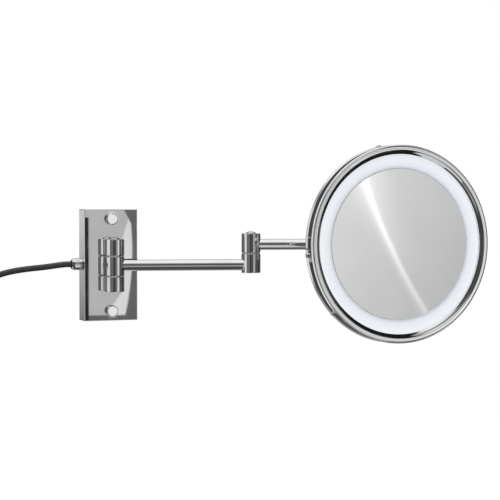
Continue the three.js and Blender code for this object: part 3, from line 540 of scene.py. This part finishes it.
def softened(points, reach, closed=False, steps=4):
    """An outline whose corners are rounded, at most reach from each corner."""
    count = len(points)
    result = []
    for i, point in enumerate(points):
        if not closed and i in (0, count - 1):
            result.append(tuple(point))
            continue
        corner = Vector(point)
        before = Vector(points[i - 1]) - corner
        after = Vector(points[(i + 1) % count]) - corner
        turn = before.angle(-after, 0.0)
        if turn < math.radians(8):
            result.append(tuple(point))
            continue
        start = corner + before.normalized() * min(reach, 0.45 * before.length)
        end = corner + after.normalized() * min(reach, 0.45 * after.length)
        for k in range(steps + 1):
            t = k / steps
            result.append(tuple(start * (1 - t) ** 2 + corner * 2 * t * (1 - t) + end * t ** 2))
    return result


def lathe(profile, steps=96, closed=False):
    """A turned body about Z through (radius, height) points."""
    mesh = bmesh.new()
    rings = []
    for radius, height in profile:
        if radius < 1e-6:
            rings.append([mesh.verts.new((0, 0, height))])
            continue
        turns = [2 * math.pi * k / steps for k in range(steps)]
        rings.append([
            mesh.verts.new((radius * math.cos(t), radius * math.sin(t), height)) for t in turns
        ])
    pairs = list(zip(rings, rings[1:]))
    if closed:
        pairs.append((rings[-1], rings[0]))
    for a, b in pairs:
        for k in range(steps):
            n = (k + 1) % steps
            if len(a) == 1 and len(b) == 1:
                break
            if len(a) == 1:
                mesh.faces.new((a[0], b[k], b[n]))
            elif len(b) == 1:
                mesh.faces.new((a[k], b[0], a[n]))
            else:
                mesh.faces.new((a[k], b[k], b[n], a[n]))
    bmesh.ops.recalc_face_normals(mesh, faces=mesh.faces)
    return mesh


def rod(radius, low, high, edge=0.3, steps=64):
    outline = [(0, low), (radius, low), (radius, high), (0, high)]
    return lathe(softened(outline, edge, steps=3), steps)


def ring(inner, outer, low, high, edge=0.2, steps=96):
    outline = [(inner, low), (outer, low), (outer, high), (inner, high)]
    return lathe(softened(outline, edge, closed=True, steps=3), steps, closed=True)


def block(x0, x1, y0, y1, z0, z1, edge=0.5, segments=2):
    mesh = bmesh.new()
    bmesh.ops.create_cube(mesh, size=1.0)
    size = Matrix.Diagonal((x1 - x0, y1 - y0, z1 - z0, 1.0))
    centre = Matrix.Translation(((x0 + x1) / 2, (y0 + y1) / 2, (z0 + z1) / 2))
    mesh.transform(centre @ size)
    if edge:
        bmesh.ops.bevel(mesh, geom=mesh.edges[:], offset=edge, segments=segments, profile=0.5,
                        affect="EDGES", clamp_overlap=True)
    return mesh


def moved(mesh, *steps):
    """The mesh after the steps, the last one first; a step is a matrix or a translation."""
    for step in reversed(steps):
        mesh.transform(step if isinstance(step, Matrix) else Matrix.Translation(step))
    return mesh


def turn(degrees, axis):
    return Matrix.Rotation(math.radians(degrees), 4, axis)


ALONG_X = turn(90, "Y")
ALONG_Y = turn(-90, "X")


def temporary(mesh):
    data = bpy.data.meshes.new("temporary")
    mesh.to_mesh(data)
    mesh.free()
    made = bpy.data.objects.new("temporary", data)
    bpy.context.scene.collection.objects.link(made)
    return made


def combined(operation, mesh, others):
    """The exact union of a mesh with others, or what is left after they are cut from it."""
    base = temporary(mesh)
    tools = [temporary(other) for other in others]
    for tool in tools:
        modifier = base.modifiers.new("combine", "BOOLEAN")
        modifier.operation = operation
        modifier.solver = "EXACT"
        modifier.object = tool
    graph = bpy.context.evaluated_depsgraph_get()
    data = bpy.data.meshes.new_from_object(base.evaluated_get(graph))
    result = bmesh.new()
    result.from_mesh(data)
    bpy.data.meshes.remove(data)
    for made in [base, *tools]:
        data = made.data
        bpy.data.objects.remove(made)
        bpy.data.meshes.remove(data)
    return result


def union(mesh, *others):
    return combined("UNION", mesh, others)


def cut(mesh, *others):
    return combined("DIFFERENCE", mesh, others)


def together(*meshes):
    """Separate closed shells in one mesh."""
    result = bmesh.new()
    for mesh in meshes:
        data = bpy.data.meshes.new("shell")
        mesh.to_mesh(data)
        mesh.free()
        result.from_mesh(data)
        bpy.data.meshes.remove(data)
    return result


def put(name, mesh, slot, body, *nodes, sharp=34):
    """Makes a piece from a mesh in millimetres, in place of some CAD nodes."""
    mesh.transform(Matrix.Scale(MM, 4))
    data = bpy.data.meshes.new(name)
    mesh.to_mesh(data)
    mesh.free()
    data.shade_smooth()
    data.set_sharp_from_angle(angle=math.radians(sharp))
    data.materials.append(SLOTS[slot])
    piece = bpy.data.objects.new(name, data)
    bpy.context.scene.collection.objects.link(piece)
    normals = piece.modifiers.new("flat_faces_stay_flat", "WEIGHTED_NORMAL")
    normals.keep_sharp = True
    normals.weight = 100
    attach(piece, body)
    if nodes:
        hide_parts(*nodes)
    return piece


# ---------------------------------------------------------------- cord

CORD_RADIUS = 3.25
COIL_CENTRE = (-194.75, -98.0)  # x and z
COIL_RADII = (41.5, 35.0, 28.5)
BACK_LAYER_Y = -4.95
FRONT_LAYER_Y = -11.45
CROSSING_Y = -17.95
# From the gland, loosely down along the wall to the top of the coil.
CORD_ROUTE = [
    (-42.7, -11.25, 1), (-47, -11.2, 1), (-52, -11.2, 0.7), (-58, -11.1, 0), (-64, -11, -0.8),
    (-71, -10.9, -1.6), (-78, -10.7, -2.3), (-86, -10.5, -3), (-94, -10.2, -3.9),
    (-102, -9.9, -5), (-110, -9.5, -6.5), (-118, -9.1, -8.5), (-126, -8.8, -11.4),
    (-133.5, -8.4, -15.4), (-140.3, -7.9, -20.6), (-146, -7.3, -27), (-150.2, -6.6, -34.4),
    (-152.7, -5.9, -42.5), (-153.4, -5.4, -51), (-153.5, -5.1, -60), (-153.25, -4.95, -74.47),
    (-153.25, -4.95, -86),
]
CORD_END = [
    (-153.25, -17.6, -103), (-153.25, -16.6, -112), (-153.25, -14.6, -122),
    (-153.25, -12.6, -132), (-153.25, -11.6, -141), (-153.25, -11.45, -149.7),
]


def eased(value, start, end):
    t = min(max((value - start) / (end - start), 0.0), 1.0)
    return t * t * (3 - 2 * t)


def coil_points():
    """Three turns inward on the wall, three outward in front of them; angles run clockwise."""
    outer, middle_radius, inner = COIL_RADII
    step = outer - middle_radius
    points = []
    for degrees in range(0, 6 * 360 + 1, 12):
        radius = outer
        radius -= step * eased(degrees, 280, 360)
        radius -= step * eased(degrees, 640, 720)
        layer = eased(degrees, 950, 1010)
        radius += step * eased(degrees, 1260, 1340)
        radius += step * eased(degrees, 1620, 1700)
        across = BACK_LAYER_Y + (FRONT_LAYER_Y - BACK_LAYER_Y) * layer
        across += (CROSSING_Y - FRONT_LAYER_Y) * eased(degrees, 1990, 2060)
        turned = math.radians(-degrees)
        points.append((
            COIL_CENTRE[0] + radius * math.cos(turned),
            across,
            COIL_CENTRE[1] + radius * math.sin(turned),
        ))
    return points


def smooth_path(points, steps=4):
    """A Catmull-Rom path through the points."""
    ends = [points[0], *points, points[-1]]
    result = []
    for a, b, c, d in zip(ends, ends[1:], ends[2:], ends[3:]):
        a, b, c, d = Vector(a), Vector(b), Vector(c), Vector(d)
        for k in range(steps):
            t = k / steps
            result.append((b * 2 + (c - a) * t + (a * 2 - b * 5 + c * 4 - d) * t ** 2
                           + (b * 3 - a - c * 3 + d) * t ** 3) / 2)
    result.append(Vector(points[-1]))
    return result


def add_cord():
    path = smooth_path([*CORD_ROUTE, *coil_points(), *CORD_END])
    length = sum((b - a).length for a, b in zip(path, path[1:]))
    data = bpy.data.curves.new("cord_line", "CURVE")
    data.dimensions = "3D"
    data.bevel_depth = CORD_RADIUS * MM
    data.bevel_resolution = 7
    data.use_fill_caps = True
    data.twist_mode = "MINIMUM"
    spline = data.splines.new("POLY")
    spline.points.add(len(path) - 1)
    for point, place in zip(spline.points, path):
        point.co = (*(place * MM), 1.0)
    spline.use_smooth = True
    data.materials.append(SLOTS["cord_sheath"])
    cord = bpy.data.objects.new("mains_cord", data)
    bpy.context.scene.collection.objects.link(cord)
    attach(cord, "wall_box")
    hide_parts("cord", "cord_coil", "cord_tail")
    return cord, path[0], length


PLUG_LENGTH = 36.0
PLUG_PIN_OFFSET = 9.3


def add_plug():
    """A flat two-pin plug with gripping ribs and a ringed strain relief."""
    low, high = box("plug_body")
    x, y = (low.x + high.x) / 2, (low.y + high.y) / 2
    top = high.z
    body_end = top - PLUG_LENGTH
    # Half width and half depth of the body's cross-sections, by the distance below its top.
    stations = [
        (0.0, 4.6, 4.4), (0.5, 5.2, 5.0), (3.0, 5.8, 5.4), (7.0, 8.2, 6.1), (11.0, 10.8, 6.6),
        (14.5, 12.2, 6.9), (15.2, 11.9, 6.6), (16.2, 12.4, 6.95), (16.9, 12.1, 6.65),
        (17.9, 12.6, 7.0), (18.6, 12.3, 6.65), (19.6, 12.8, 7.0), (20.3, 12.5, 6.7),
        (21.3, 12.9, 7.0), (22.0, 12.8, 6.9), (28.0, 13.0, 7.0), (34.8, 13.0, 7.0),
        (35.6, 12.7, 6.7), (PLUG_LENGTH, 12.0, 6.0),
    ]
    steps = 64
    mesh = bmesh.new()
    rings = []
    for drop, wide, deep in stations:
        loop = []
        for k in range(steps):
            t = 2 * math.pi * k / steps
            c, s = math.cos(t), math.sin(t)
            power = 2 / (2.2 + 1.6 * min(drop / 14, 1.0))
            px = wide * math.copysign(abs(c) ** power, c)
            py = deep * math.copysign(abs(s) ** power, s)
            loop.append(mesh.verts.new((px, py, -drop)))
        rings.append(loop)
    for a, b in zip(rings, rings[1:]):
        for k in range(steps):
            n = (k + 1) % steps
            mesh.faces.new((a[k], b[k], b[n], a[n]))
    mesh.faces.new(rings[0])
    mesh.faces.new(rings[-1])
    bmesh.ops.recalc_face_normals(mesh, faces=mesh.faces)
    relief = [(3.5, -2.0), (4.6, -2.0), (4.6, 1.0)]
    for k in range(5):
        height = 1.6 + 2.2 * k
        wide = 4.5 - 0.14 * k
        relief += [(wide - 0.55, height), (wide - 0.55, height + 0.7), (wide, height + 0.9),
                   (wide - 0.05, height + 2.0)]
    relief += [(3.75, 12.9), (3.5, 13.0)]
    relief = lathe(softened(relief, 0.2, closed=True, steps=2), 48, closed=True)
    body = moved(together(mesh, relief), (x, y, top))
    plug = put("plug_moulding", body, "cord_sheath", "wall_box", "plug_body", sharp=40)

    places = [(x + side * PLUG_PIN_OFFSET, y, body_end) for side in (-1, 1)]
    outline = [(0, 0.5), (2.0, 0.5), (2.0, -17.6), (1.2, -19.0), (0, -19.0)]
    outline = softened(outline, 0.5, steps=3)
    pins = [moved(lathe(outline, 32), place) for place in places]
    contacts = put("plug_pins", together(*pins), "steel", "wall_box")
    sleeves = [moved(ring(2.02, 2.25, -9.5, 0.2, 0.08, 32), place) for place in places]
    collars = put("plug_pin_sleeves", together(*sleeves), "black_rubber", "wall_box")
    return plug, contacts, collars


def add_tie():
    """A rubber strap with rounded corners round all the turns, and its button."""
    low, high = box("coil_tie")
    thick = 1.2
    inside = [(low.x + thick, low.y + thick), (high.x - thick, low.y + thick),
              (high.x - thick, high.y - thick), (low.x + thick, high.y - thick)]
    outside = [(low.x, low.y), (high.x, low.y), (high.x, high.y), (low.x, high.y)]
    inner = softened(inside, 3.0, closed=True, steps=6)
    outer = softened(outside, 3.6, closed=True, steps=6)
    mesh = bmesh.new()
    walls = []
    for outline in (inner, outer):
        for height in (low.z, high.z):
            walls.append([mesh.verts.new((px, py, height)) for px, py in outline])
    count = len(inner)
    for a, b in ((0, 1), (3, 2), (2, 0), (1, 3)):
        for k in range(count):
            n = (k + 1) % count
            mesh.faces.new((walls[a][k], walls[a][n], walls[b][n], walls[b][k]))
    bmesh.ops.recalc_face_normals(mesh, faces=mesh.faces)
    edges = [e for e in mesh.edges if abs(e.verts[0].co.z - e.verts[1].co.z) < 1e-6]
    rim = [e for e in edges if e.calc_face_angle(0) > 1.0]
    bmesh.ops.bevel(mesh, geom=rim, offset=0.3, segments=2, profile=0.5, affect="EDGES")
    stud = [(0, 0.9), (1.6, 0.75), (2.2, 0.3), (2.2, -0.4), (0, -0.4)]
    stud = lathe(softened(stud, 0.3, steps=2), 32)
    centre = Vector((low.x, 0, 0)) + Vector((thick * 0.5, (low.y + high.y) / 2, middle("coil_tie").z))
    stud = moved(stud, centre, turn(-90, "Y"))
    return put("coil_strap", union(mesh, stud), "black_rubber", "wall_box", "coil_tie")


cord, cord_exit, cord_length = add_cord()
plug_pieces = add_plug()
tie = add_tie()

# ---------------------------------------------------------------- wall box


def add_cover():
    (x0, y0, z0), (x1, y1, z1) = COVER_LOW, COVER_HIGH
    shell = block(x0, x1, y0, 4, z0, z1, edge=0.8, segments=5)
    room = block(x0 + SHEET, x1 - SHEET, y0 + SHEET, 8, z0 + SHEET, z1 - SHEET, edge=0.6)
    back = block(x0 - 5, x1 + 5, y1, 12, z0 - 5, z1 + 5, edge=0)
    holes = [
        moved(rod(2.3, -4, 4, 0, 40), (0, y0, middle(node).z), ALONG_Y)
        for node in ("cover_stud_upper", "cover_stud_lower")
    ]
    gland = middle("cord_gland")
    holes.append(moved(rod(5.1, -4, 4, 0, 48), (x0, gland.y, gland.z), ALONG_X))
    put("cover_shell", cut(shell, room, back, *holes), "chrome", "wall_box", "box_cover", sharp=5)


def add_bracket():
    low, high = box("wall_bracket")
    plate = block(low.x, high.x, low.y, high.y, low.z, high.z, edge=0.35)
    holes = []
    for x in (-20.7, 20.7):
        for z in (-38.0, 38.0):
            holes.append(moved(rod(2.5, -4, 4, 0, 40), (x, -1, z), ALONG_Y))
            sink = lathe([(0, -1.0), (4.4, -1.0), (2.4, 1.1), (0, 1.1)], 40)
            holes.append(moved(sink, (x, low.y + 0.6, z), ALONG_Y))
    put("bracket_plate", cut(plate, *holes), "steel", "wall_box", "wall_bracket")


def add_cap_nuts():
    """Blind nuts, each with a shallow groove and a flat polished face."""
    for side in ("upper", "lower"):
        node = "cap_nut_" + side
        low, high = box(node)
        radius, height = (high.x - low.x) / 2, high.y - low.y
        outline = [
            (2.4, 0), (radius - 0.2, 0), (radius, 0.25), (radius, 1.9), (radius - 0.3, 2.1),
            (radius - 0.3, 2.4), (radius, 2.6), (radius, height - 0.95), (radius - 0.35, height - 0.4),
            (radius - 0.9, height), (0, height),
        ]
        outline = softened(outline, 0.2, steps=3)
        nut = lathe(outline + [(0, 3.9), (2.4, 3.9), (2.4, 0)], 96)
        bmesh.ops.remove_doubles(nut, verts=nut.verts, dist=1e-5)
        put("cap_nut_" + side + "_face", moved(nut, (0, high.y, middle(node).z), turn(90, "X")),
            "chrome", "wall_box", node, sharp=5)


def barrel(low, high, edge=0.55):
    """A hinge barrel on the Z axis, bored for its pin."""
    return ring(PIN_BORE, BARREL_RADIUS, low, high, edge)


def add_wall_knuckles():
    root = COVER_LOW.y - GAP
    for side in ("upper", "lower"):
        node = "wall_knuckle_" + side
        low, high = box(node)
        place = (WALL_AXIS.x, WALL_AXIS.y, 0)
        blank = moved(rod(BARREL_RADIUS, low.z, high.z, 0.55, 96), place)
        foot = block(-6, 6, WALL_AXIS.y, root, low.z + 0.5, high.z - 0.5, edge=0.6)
        bore = moved(rod(PIN_BORE, low.z - 1, high.z + 1, 0, 48), place)
        put("wall_hinge_" + side, cut(union(blank, foot), bore), "chrome", "wall_box", node)


def add_washer(node, axis, body):
    low, high = box(node)
    washer = ring(PIN_BORE, (high.x - low.x) / 2, low.z, high.z, 0.25)
    washer = moved(washer, (axis.x, axis.y, 0))
    put(node + "_disc", washer, "nylon", body, node)


def add_barrel_cap(node, axis, body):
    low, high = box(node)
    radius, height = (high.x - low.x) / 2, high.z - low.z
    outline = [(0, 0), (radius - 0.2, 0), (radius, 0.2), (radius, 0.55), (radius - 0.5, 0.95),
               (3.9, 1.45), (2.2, 1.85), (0, height)]
    cap = lathe(softened(outline, 0.3, steps=4), 64)
    put(node + "_dome", moved(cap, (axis.x, axis.y, low.z)), "chrome", body, node)


def add_gland():
    gland = middle("cord_gland")
    base = COVER_LOW.x - GAP
    length = base - box("cord_gland")[0].x
    outline = [
        (3.55, -6.5), (4.75, -6.5), (4.75, 0), (6.5, 0), (6.5, 1.6), (6.25, 1.85), (6.25, 2.15),
        (6.5, 2.4), (6.48, 5.5), (6.35, 8.6), (6.0, 10.0), (5.3, 11.0), (4.95, length),
        (4.65, length), (4.65, 4.2), (3.55, 4.2),
    ]
    outline = softened(outline, 0.35, closed=True, steps=3)
    body = moved(lathe(outline, 96, closed=True), (base, gland.y, gland.z), turn(-90, "Y"))
    put("gland_sleeve", body, "chrome", "wall_box", "cord_gland")
    outline = [(3.55, 4.8), (4.35, 4.8), (4.35, length + 0.1), (4.1, length + 0.45),
               (3.8, length + 0.6), (3.55, length + 0.6)]
    outline = softened(outline, 0.25, closed=True, steps=3)
    bush = moved(lathe(outline, 64, closed=True), (base, gland.y, gland.z), turn(-90, "Y"))
    return put("gland_bush", bush, "black_rubber", "wall_box", "gland_bushing")


add_cover()
add_bracket()
add_cap_nuts()
add_wall_knuckles()
bush = add_gland()
add_washer("wall_washer_upper", WALL_AXIS, "wall_box")
add_washer("wall_washer_lower", WALL_AXIS, "wall_box")
add_barrel_cap("wall_barrel_cap", WALL_AXIS, "wall_box")

# ---------------------------------------------------------------- arms


def add_tube(name, node, start, end, body):
    """A tube from barrel to barrel, let into both."""
    z = middle(node).z
    line = end - start
    inset = BARREL_RADIUS - 2.4
    tube = ring(TUBE_RADIUS - TUBE_WALL, TUBE_RADIUS, inset, line.length - inset, 0.1, 80)
    heading = math.degrees(math.atan2(line.y, line.x))
    put(name, moved(tube, (start.x, start.y, z), turn(heading, "Z"), ALONG_X), "chrome", body, node)


def add_arm_knuckle(name, node, axis, body):
    low, high = box(node)
    put(name, moved(barrel(low.z, high.z), (axis.x, axis.y, 0)), "chrome", body, node)


add_arm_knuckle("wall_arm_barrel", "wall_arm_knuckle", WALL_AXIS, "lower_arm")
add_tube("lower_tube", "lower_arm_tube", WALL_AXIS, ELBOW_AXIS, "lower_arm")
add_arm_knuckle("elbow_lower_barrel", "elbow_lower_knuckle", ELBOW_AXIS, "lower_arm")
add_washer("elbow_washer", ELBOW_AXIS, "lower_arm")
add_arm_knuckle("elbow_upper_barrel", "elbow_upper_knuckle", ELBOW_AXIS, "upper_arm")
add_barrel_cap("elbow_cap", ELBOW_AXIS, "upper_arm")
add_tube("upper_tube", "upper_arm_tube", ELBOW_AXIS, PAN_AXIS, "upper_arm")
add_arm_knuckle("pan_arm_barrel", "pan_arm_knuckle", PAN_AXIS, "upper_arm")

# ---------------------------------------------------------------- swivel


def add_fork():
    half = (box("swivel_fork")[1].z - box("swivel_fork")[0].z) / 2
    inner = half - 10.0
    width = BARREL_RADIUS - 0.2
    web_back, web_front = -BARREL_RADIUS - 0.8, -BARREL_RADIUS - 5.5
    reach = TILT_AXIS.x - PAN_AXIS.y
    rise = TILT_AXIS.y - PAN_MIDDLE_Z
    pieces = [block(-width, width, web_front, web_back, -half + 0.3, half - 0.3, edge=0.8)]
    bore = rod(PIN_BORE, -half - 1, half + 1, 0, 48)
    for side in (-1, 1):
        low, high = sorted((side * inner, side * half))
        pieces.append(rod(BARREL_RADIUS, low, high, 0.55, 96))
        pieces.append(block(-width, width, web_back - 2.0, 0, low + 0.3, high - 0.3, edge=0.6))
        x0, x1 = sorted((side * (TONGUE_HALF_WIDTH + GAP), side * width))
        pieces.append(moved(rod(CHEEK_RADIUS, x0, x1, 0.35, 64), (0, reach, rise), ALONG_X))
        pieces.append(block(x0, x1, reach, web_front + 2.0, rise - CHEEK_RADIUS, rise + CHEEK_RADIUS,
                            edge=0.35))
    fork = cut(union(*pieces), bore)
    put("swivel_yoke", moved(fork, (PAN_AXIS.x, PAN_AXIS.y, PAN_MIDDLE_Z)), "chrome", "swivel",
        "swivel_fork")


def add_tilt_screw():
    low, high = box("tilt_screw")
    y, z = TILT_AXIS
    head_low = high.x - 2.2
    head = lathe(softened([(0, head_low), (4.4, head_low), (4.4, high.x - 0.8),
                           (3.2, high.x - 0.1), (0, high.x)], 0.5, steps=4), 64)
    socket = rod(1.9, high.x - 1.4, high.x + 2, 0, 6)
    shank = rod(2.45, low.x, head_low + 1, 0.3, 48)
    screw = cut(union(head, shank), socket)
    put("tilt_bolt", moved(screw, (0, y, z), ALONG_X), "steel", "swivel", "tilt_screw")
    low, high = box("tilt_nut")
    blank = rod(4.4, low.x, high.x, 0.35, 6)
    hole = rod(2.75, low.x - 2, high.x + 2, 0, 40)
    nut = moved(cut(blank, hole), (0, y, z), ALONG_X)
    put("tilt_lock_nut", nut, "steel", "swivel", "tilt_nut")


add_fork()
add_tilt_screw()
add_washer("pan_washer_upper", PAN_AXIS, "swivel")
add_washer("pan_washer_lower", PAN_AXIS, "swivel")
add_barrel_cap("pan_cap", PAN_AXIS, "swivel")

# ---------------------------------------------------------------- mirror head

# The face frame: +Z towards the viewer, z = 0 at the rim's foremost edge.
FACE = Matrix.Translation((HEAD_X, RIM_Y, HEAD_Z)) @ turn(90, "X")
HEAD_STEPS = 192
GLASS_RADIUS = (box("mirror_glass")[1].x - box("mirror_glass")[0].x) / 2
GLASS_DEPTH = box("mirror_glass")[0].y - RIM_Y
GLASS_CURVE = 1200.0
LIP_RADIUS = 97.2
HOUSING_RADIUS = (box("back_housing")[1].x - box("back_housing")[0].x) / 2
HOUSING_DEPTH = box("back_housing")[1].y - RIM_Y
SWITCH_ANGLE = 186
SWITCH_DEPTH = middle("switch_button").y - RIM_Y
RIM_SCREW_DEPTH = middle("rim_screw_1").y - RIM_Y


def by_depth(profile):
    return [(radius, -depth) for radius, depth in profile]


def radial(mesh, angle, depth):
    """A mesh along its own +Z, laid outward from the head's axis."""
    return moved(mesh, FACE, (0, 0, -depth), turn(angle, "Z"), ALONG_X)


def add_bezel():
    r = HEAD_RADIUS
    end = box("bezel_ring")[1].y - RIM_Y
    outline = [
        (r - 0.35, end), (r, end - 0.35), (r, end - 0.9), (r - 1.1, end - 3.9), (r - 1.1, 3.5),
        (r - 0.5, 2.9), (r, 2.3), (r - 1.0, 0.6), (r - 1.2, 0.45), (r - 1.45, 0.8),
        (r - 1.65, 0.8), (r - 1.9, 0.3), (r - 2.4, 0.06), (r - 4.0, 0.0), (r - 5.7, 0.05),
        (r - 6.1, 0.3), (r - 6.5, 0.75), (r - 8.6, 1.7),
        (LIP_RADIUS + 0.3, 2.6), (LIP_RADIUS, 2.9), (LIP_RADIUS, 4.5), (r - 2.0, 4.5),
        (r - 2.0, end - 4.1), (r - 1.3, end - 2.4), (r - 1.3, end),
    ]
    outline = softened(by_depth(outline), 0.3, closed=True, steps=3)
    band = moved(lathe(outline, HEAD_STEPS, closed=True), FACE)
    window = radial(rod(2.95, r - 4, r + 3, 0, 48), SWITCH_ANGLE, SWITCH_DEPTH)
    put("rim_band", cut(band, window), "chrome", "mirror_head", "bezel_ring")


def add_housing():
    r, d = HOUSING_RADIUS, HOUSING_DEPTH
    dome = [(20.0, 0.0), (47.9, 0.9), (75.0, 2.0), (88.0, 2.9), (96.0, 4.0), (100.5, 5.2),
            (103.6, 6.5), (105.2, 7.9), (r, 9.6)]
    outside = [(0, d)] + [(radius, d - rise) for radius, rise in dome]
    inside = [(radius - SHEET * min(radius / r, 1) ** 8, d - SHEET - rise) for radius, rise in dome]
    outline = outside + [(r, 6.2), (r - SHEET, 6.2)] + inside[::-1] + [(0, d - SHEET)]
    outline = softened(by_depth(outline), 0.8, steps=3)
    shell = moved(lathe(outline, HEAD_STEPS), FACE)
    put("housing_shell", shell, "chrome", "mirror_head", "back_housing", sharp=40)


def add_light_ring():
    low, high = box("diffuser_ring")
    front, back = low.y - RIM_Y, high.y - RIM_Y
    outer = (high.x - low.x) / 2
    inner = GLASS_RADIUS + 0.25
    outline = [(inner, back), (inner, front + 0.25), (inner + 0.35, front), (outer, front),
               (outer, back)]
    outline = softened(by_depth(outline), 0.2, closed=True, steps=3)
    put("light_ring", moved(lathe(outline, HEAD_STEPS, closed=True), FACE), "frosted",
        "mirror_head", "diffuser_ring")


def add_glass():
    sag = GLASS_RADIUS ** 2 / (2 * GLASS_CURVE)
    rings = 28
    front = []
    for k in range(rings + 1):
        radius = (GLASS_RADIUS - 0.25) * k / rings
        front.append((radius, GLASS_DEPTH + sag * (1 - (radius / GLASS_RADIUS) ** 2)))
    edge = [(GLASS_RADIUS, GLASS_DEPTH + 0.3), (GLASS_RADIUS, GLASS_DEPTH + 2.9)]
    back = [(radius, depth + 3.0) for radius, depth in front[::-7]]
    glass = lathe(by_depth(front + edge + back), HEAD_STEPS)
    put("concave_glass", moved(glass, FACE), "mirror", "mirror_head", "mirror_glass", sharp=20)


def add_rim_screws():
    for number, angle in enumerate((103, 223, 343), 1):
        seat = HEAD_RADIUS + GAP
        outline = [(0, seat - 4.6), (1.4, seat - 4.6), (1.4, seat), (2.8, seat), (2.8, seat + 0.5),
                   (2.4, seat + 1.05), (1.5, seat + 1.45), (0, seat + 1.6)]
        screw = lathe(softened(outline, 0.2, steps=3), 48)
        node = f"rim_screw_{number}"
        put(f"rim_stud_{number}", radial(screw, angle, RIM_SCREW_DEPTH), "chrome", "mirror_head",
            node)


def add_button():
    r = HEAD_RADIUS
    outline = [(0, r - 4.5), (1.4, r - 4.5), (1.4, r - 1.0), (2.6, r - 1.0), (2.6, r + 0.5),
               (2.2, r + 0.9), (1.5, r + 0.7), (0, r + 0.6)]
    button = lathe(softened(outline, 0.2, steps=3), 48)
    put("push_button", radial(button, SWITCH_ANGLE, SWITCH_DEPTH), "chrome", "switch",
        "switch_button")


def add_tilt_bracket():
    low, high = box("tilt_bracket")
    flange_front, flange_back = low.y, low.y + 3.0
    radius = (high.x - low.x) / 2
    outline = [(0, 0), (radius - 0.3, 0), (radius, 0.3), (radius, 2.4), (radius - 0.6, 3.0),
               (9.0, 3.0), (8.2, 3.4), (0, 3.4)]
    disc = moved(lathe(softened(outline, 0.5, steps=3), 96), (HEAD_X, flange_front, HEAD_Z), ALONG_Y)
    y, z = TILT_AXIS
    half = TONGUE_HALF_WIDTH
    tongue = block(HEAD_X - half, HEAD_X + half, flange_back - 1.5, y, z - CHEEK_RADIUS,
                   z + CHEEK_RADIUS, edge=0.4)
    nose = moved(rod(CHEEK_RADIUS, -half, half, 0.4, 64), (HEAD_X, y, z), ALONG_X)
    bore = moved(rod(2.8, -9, 9, 0, 40), (HEAD_X, y, z), ALONG_X)
    bracket = cut(union(disc, tongue, nose), bore)
    put("tilt_flange", bracket, "chrome", "mirror_head", "tilt_bracket")
    for number in (1, 2, 3):
        node = f"flange_screw_{number}"
        low, high = box(node)
        centre = (low + high) / 2
        height = high.y - low.y
        outline = [(0, 0), (1.5, 0), (1.5, height - 1.8), (2.8, height - 1.8), (2.8, height - 1.1),
                   (2.2, height - 0.35), (1.2, height - 0.05), (0, height)]
        screw = lathe(softened(outline, 0.25, steps=3), 40)
        slots = [block(-1.7, 1.7, -0.28, 0.28, height - 0.9, height + 1, edge=0),
                 block(-0.28, 0.28, -1.7, 1.7, height - 0.9, height + 1, edge=0)]
        put(f"flange_bolt_{number}", moved(cut(screw, *slots), (centre.x, low.y, centre.z), ALONG_Y),
            "steel", "mirror_head", node)


add_bezel()
add_housing()
add_light_ring()
add_glass()
add_rim_screws()
add_button()
add_tilt_bracket()

# ---------------------------------------------------------------- floor


def add_floor():
    """A wide pale floor far below the mirror, lit evenly."""
    mesh = bmesh.new()
    bmesh.ops.create_circle(mesh, cap_ends=True, segments=96, radius=6.0)
    data = bpy.data.meshes.new("floor")
    mesh.to_mesh(data)
    mesh.free()
    f = Finish("pale_floor", Roughness=0.9, Emission_Strength=0.72)
    f.shader.inputs["Emission Color"].default_value = (1.0, 1.0, 1.0, 1.0)
    f.colour(f.noise(3.0), [(0.3, 0.80), (0.7, 0.84)])
    data.materials.append(f.material)
    floor = bpy.data.objects.new("floor", data)
    floor.location = (0.16, 0.0, -1.1)
    floor.visible_glossy = False
    floor.visible_diffuse = False
    bpy.context.scene.collection.objects.link(floor)


add_floor()
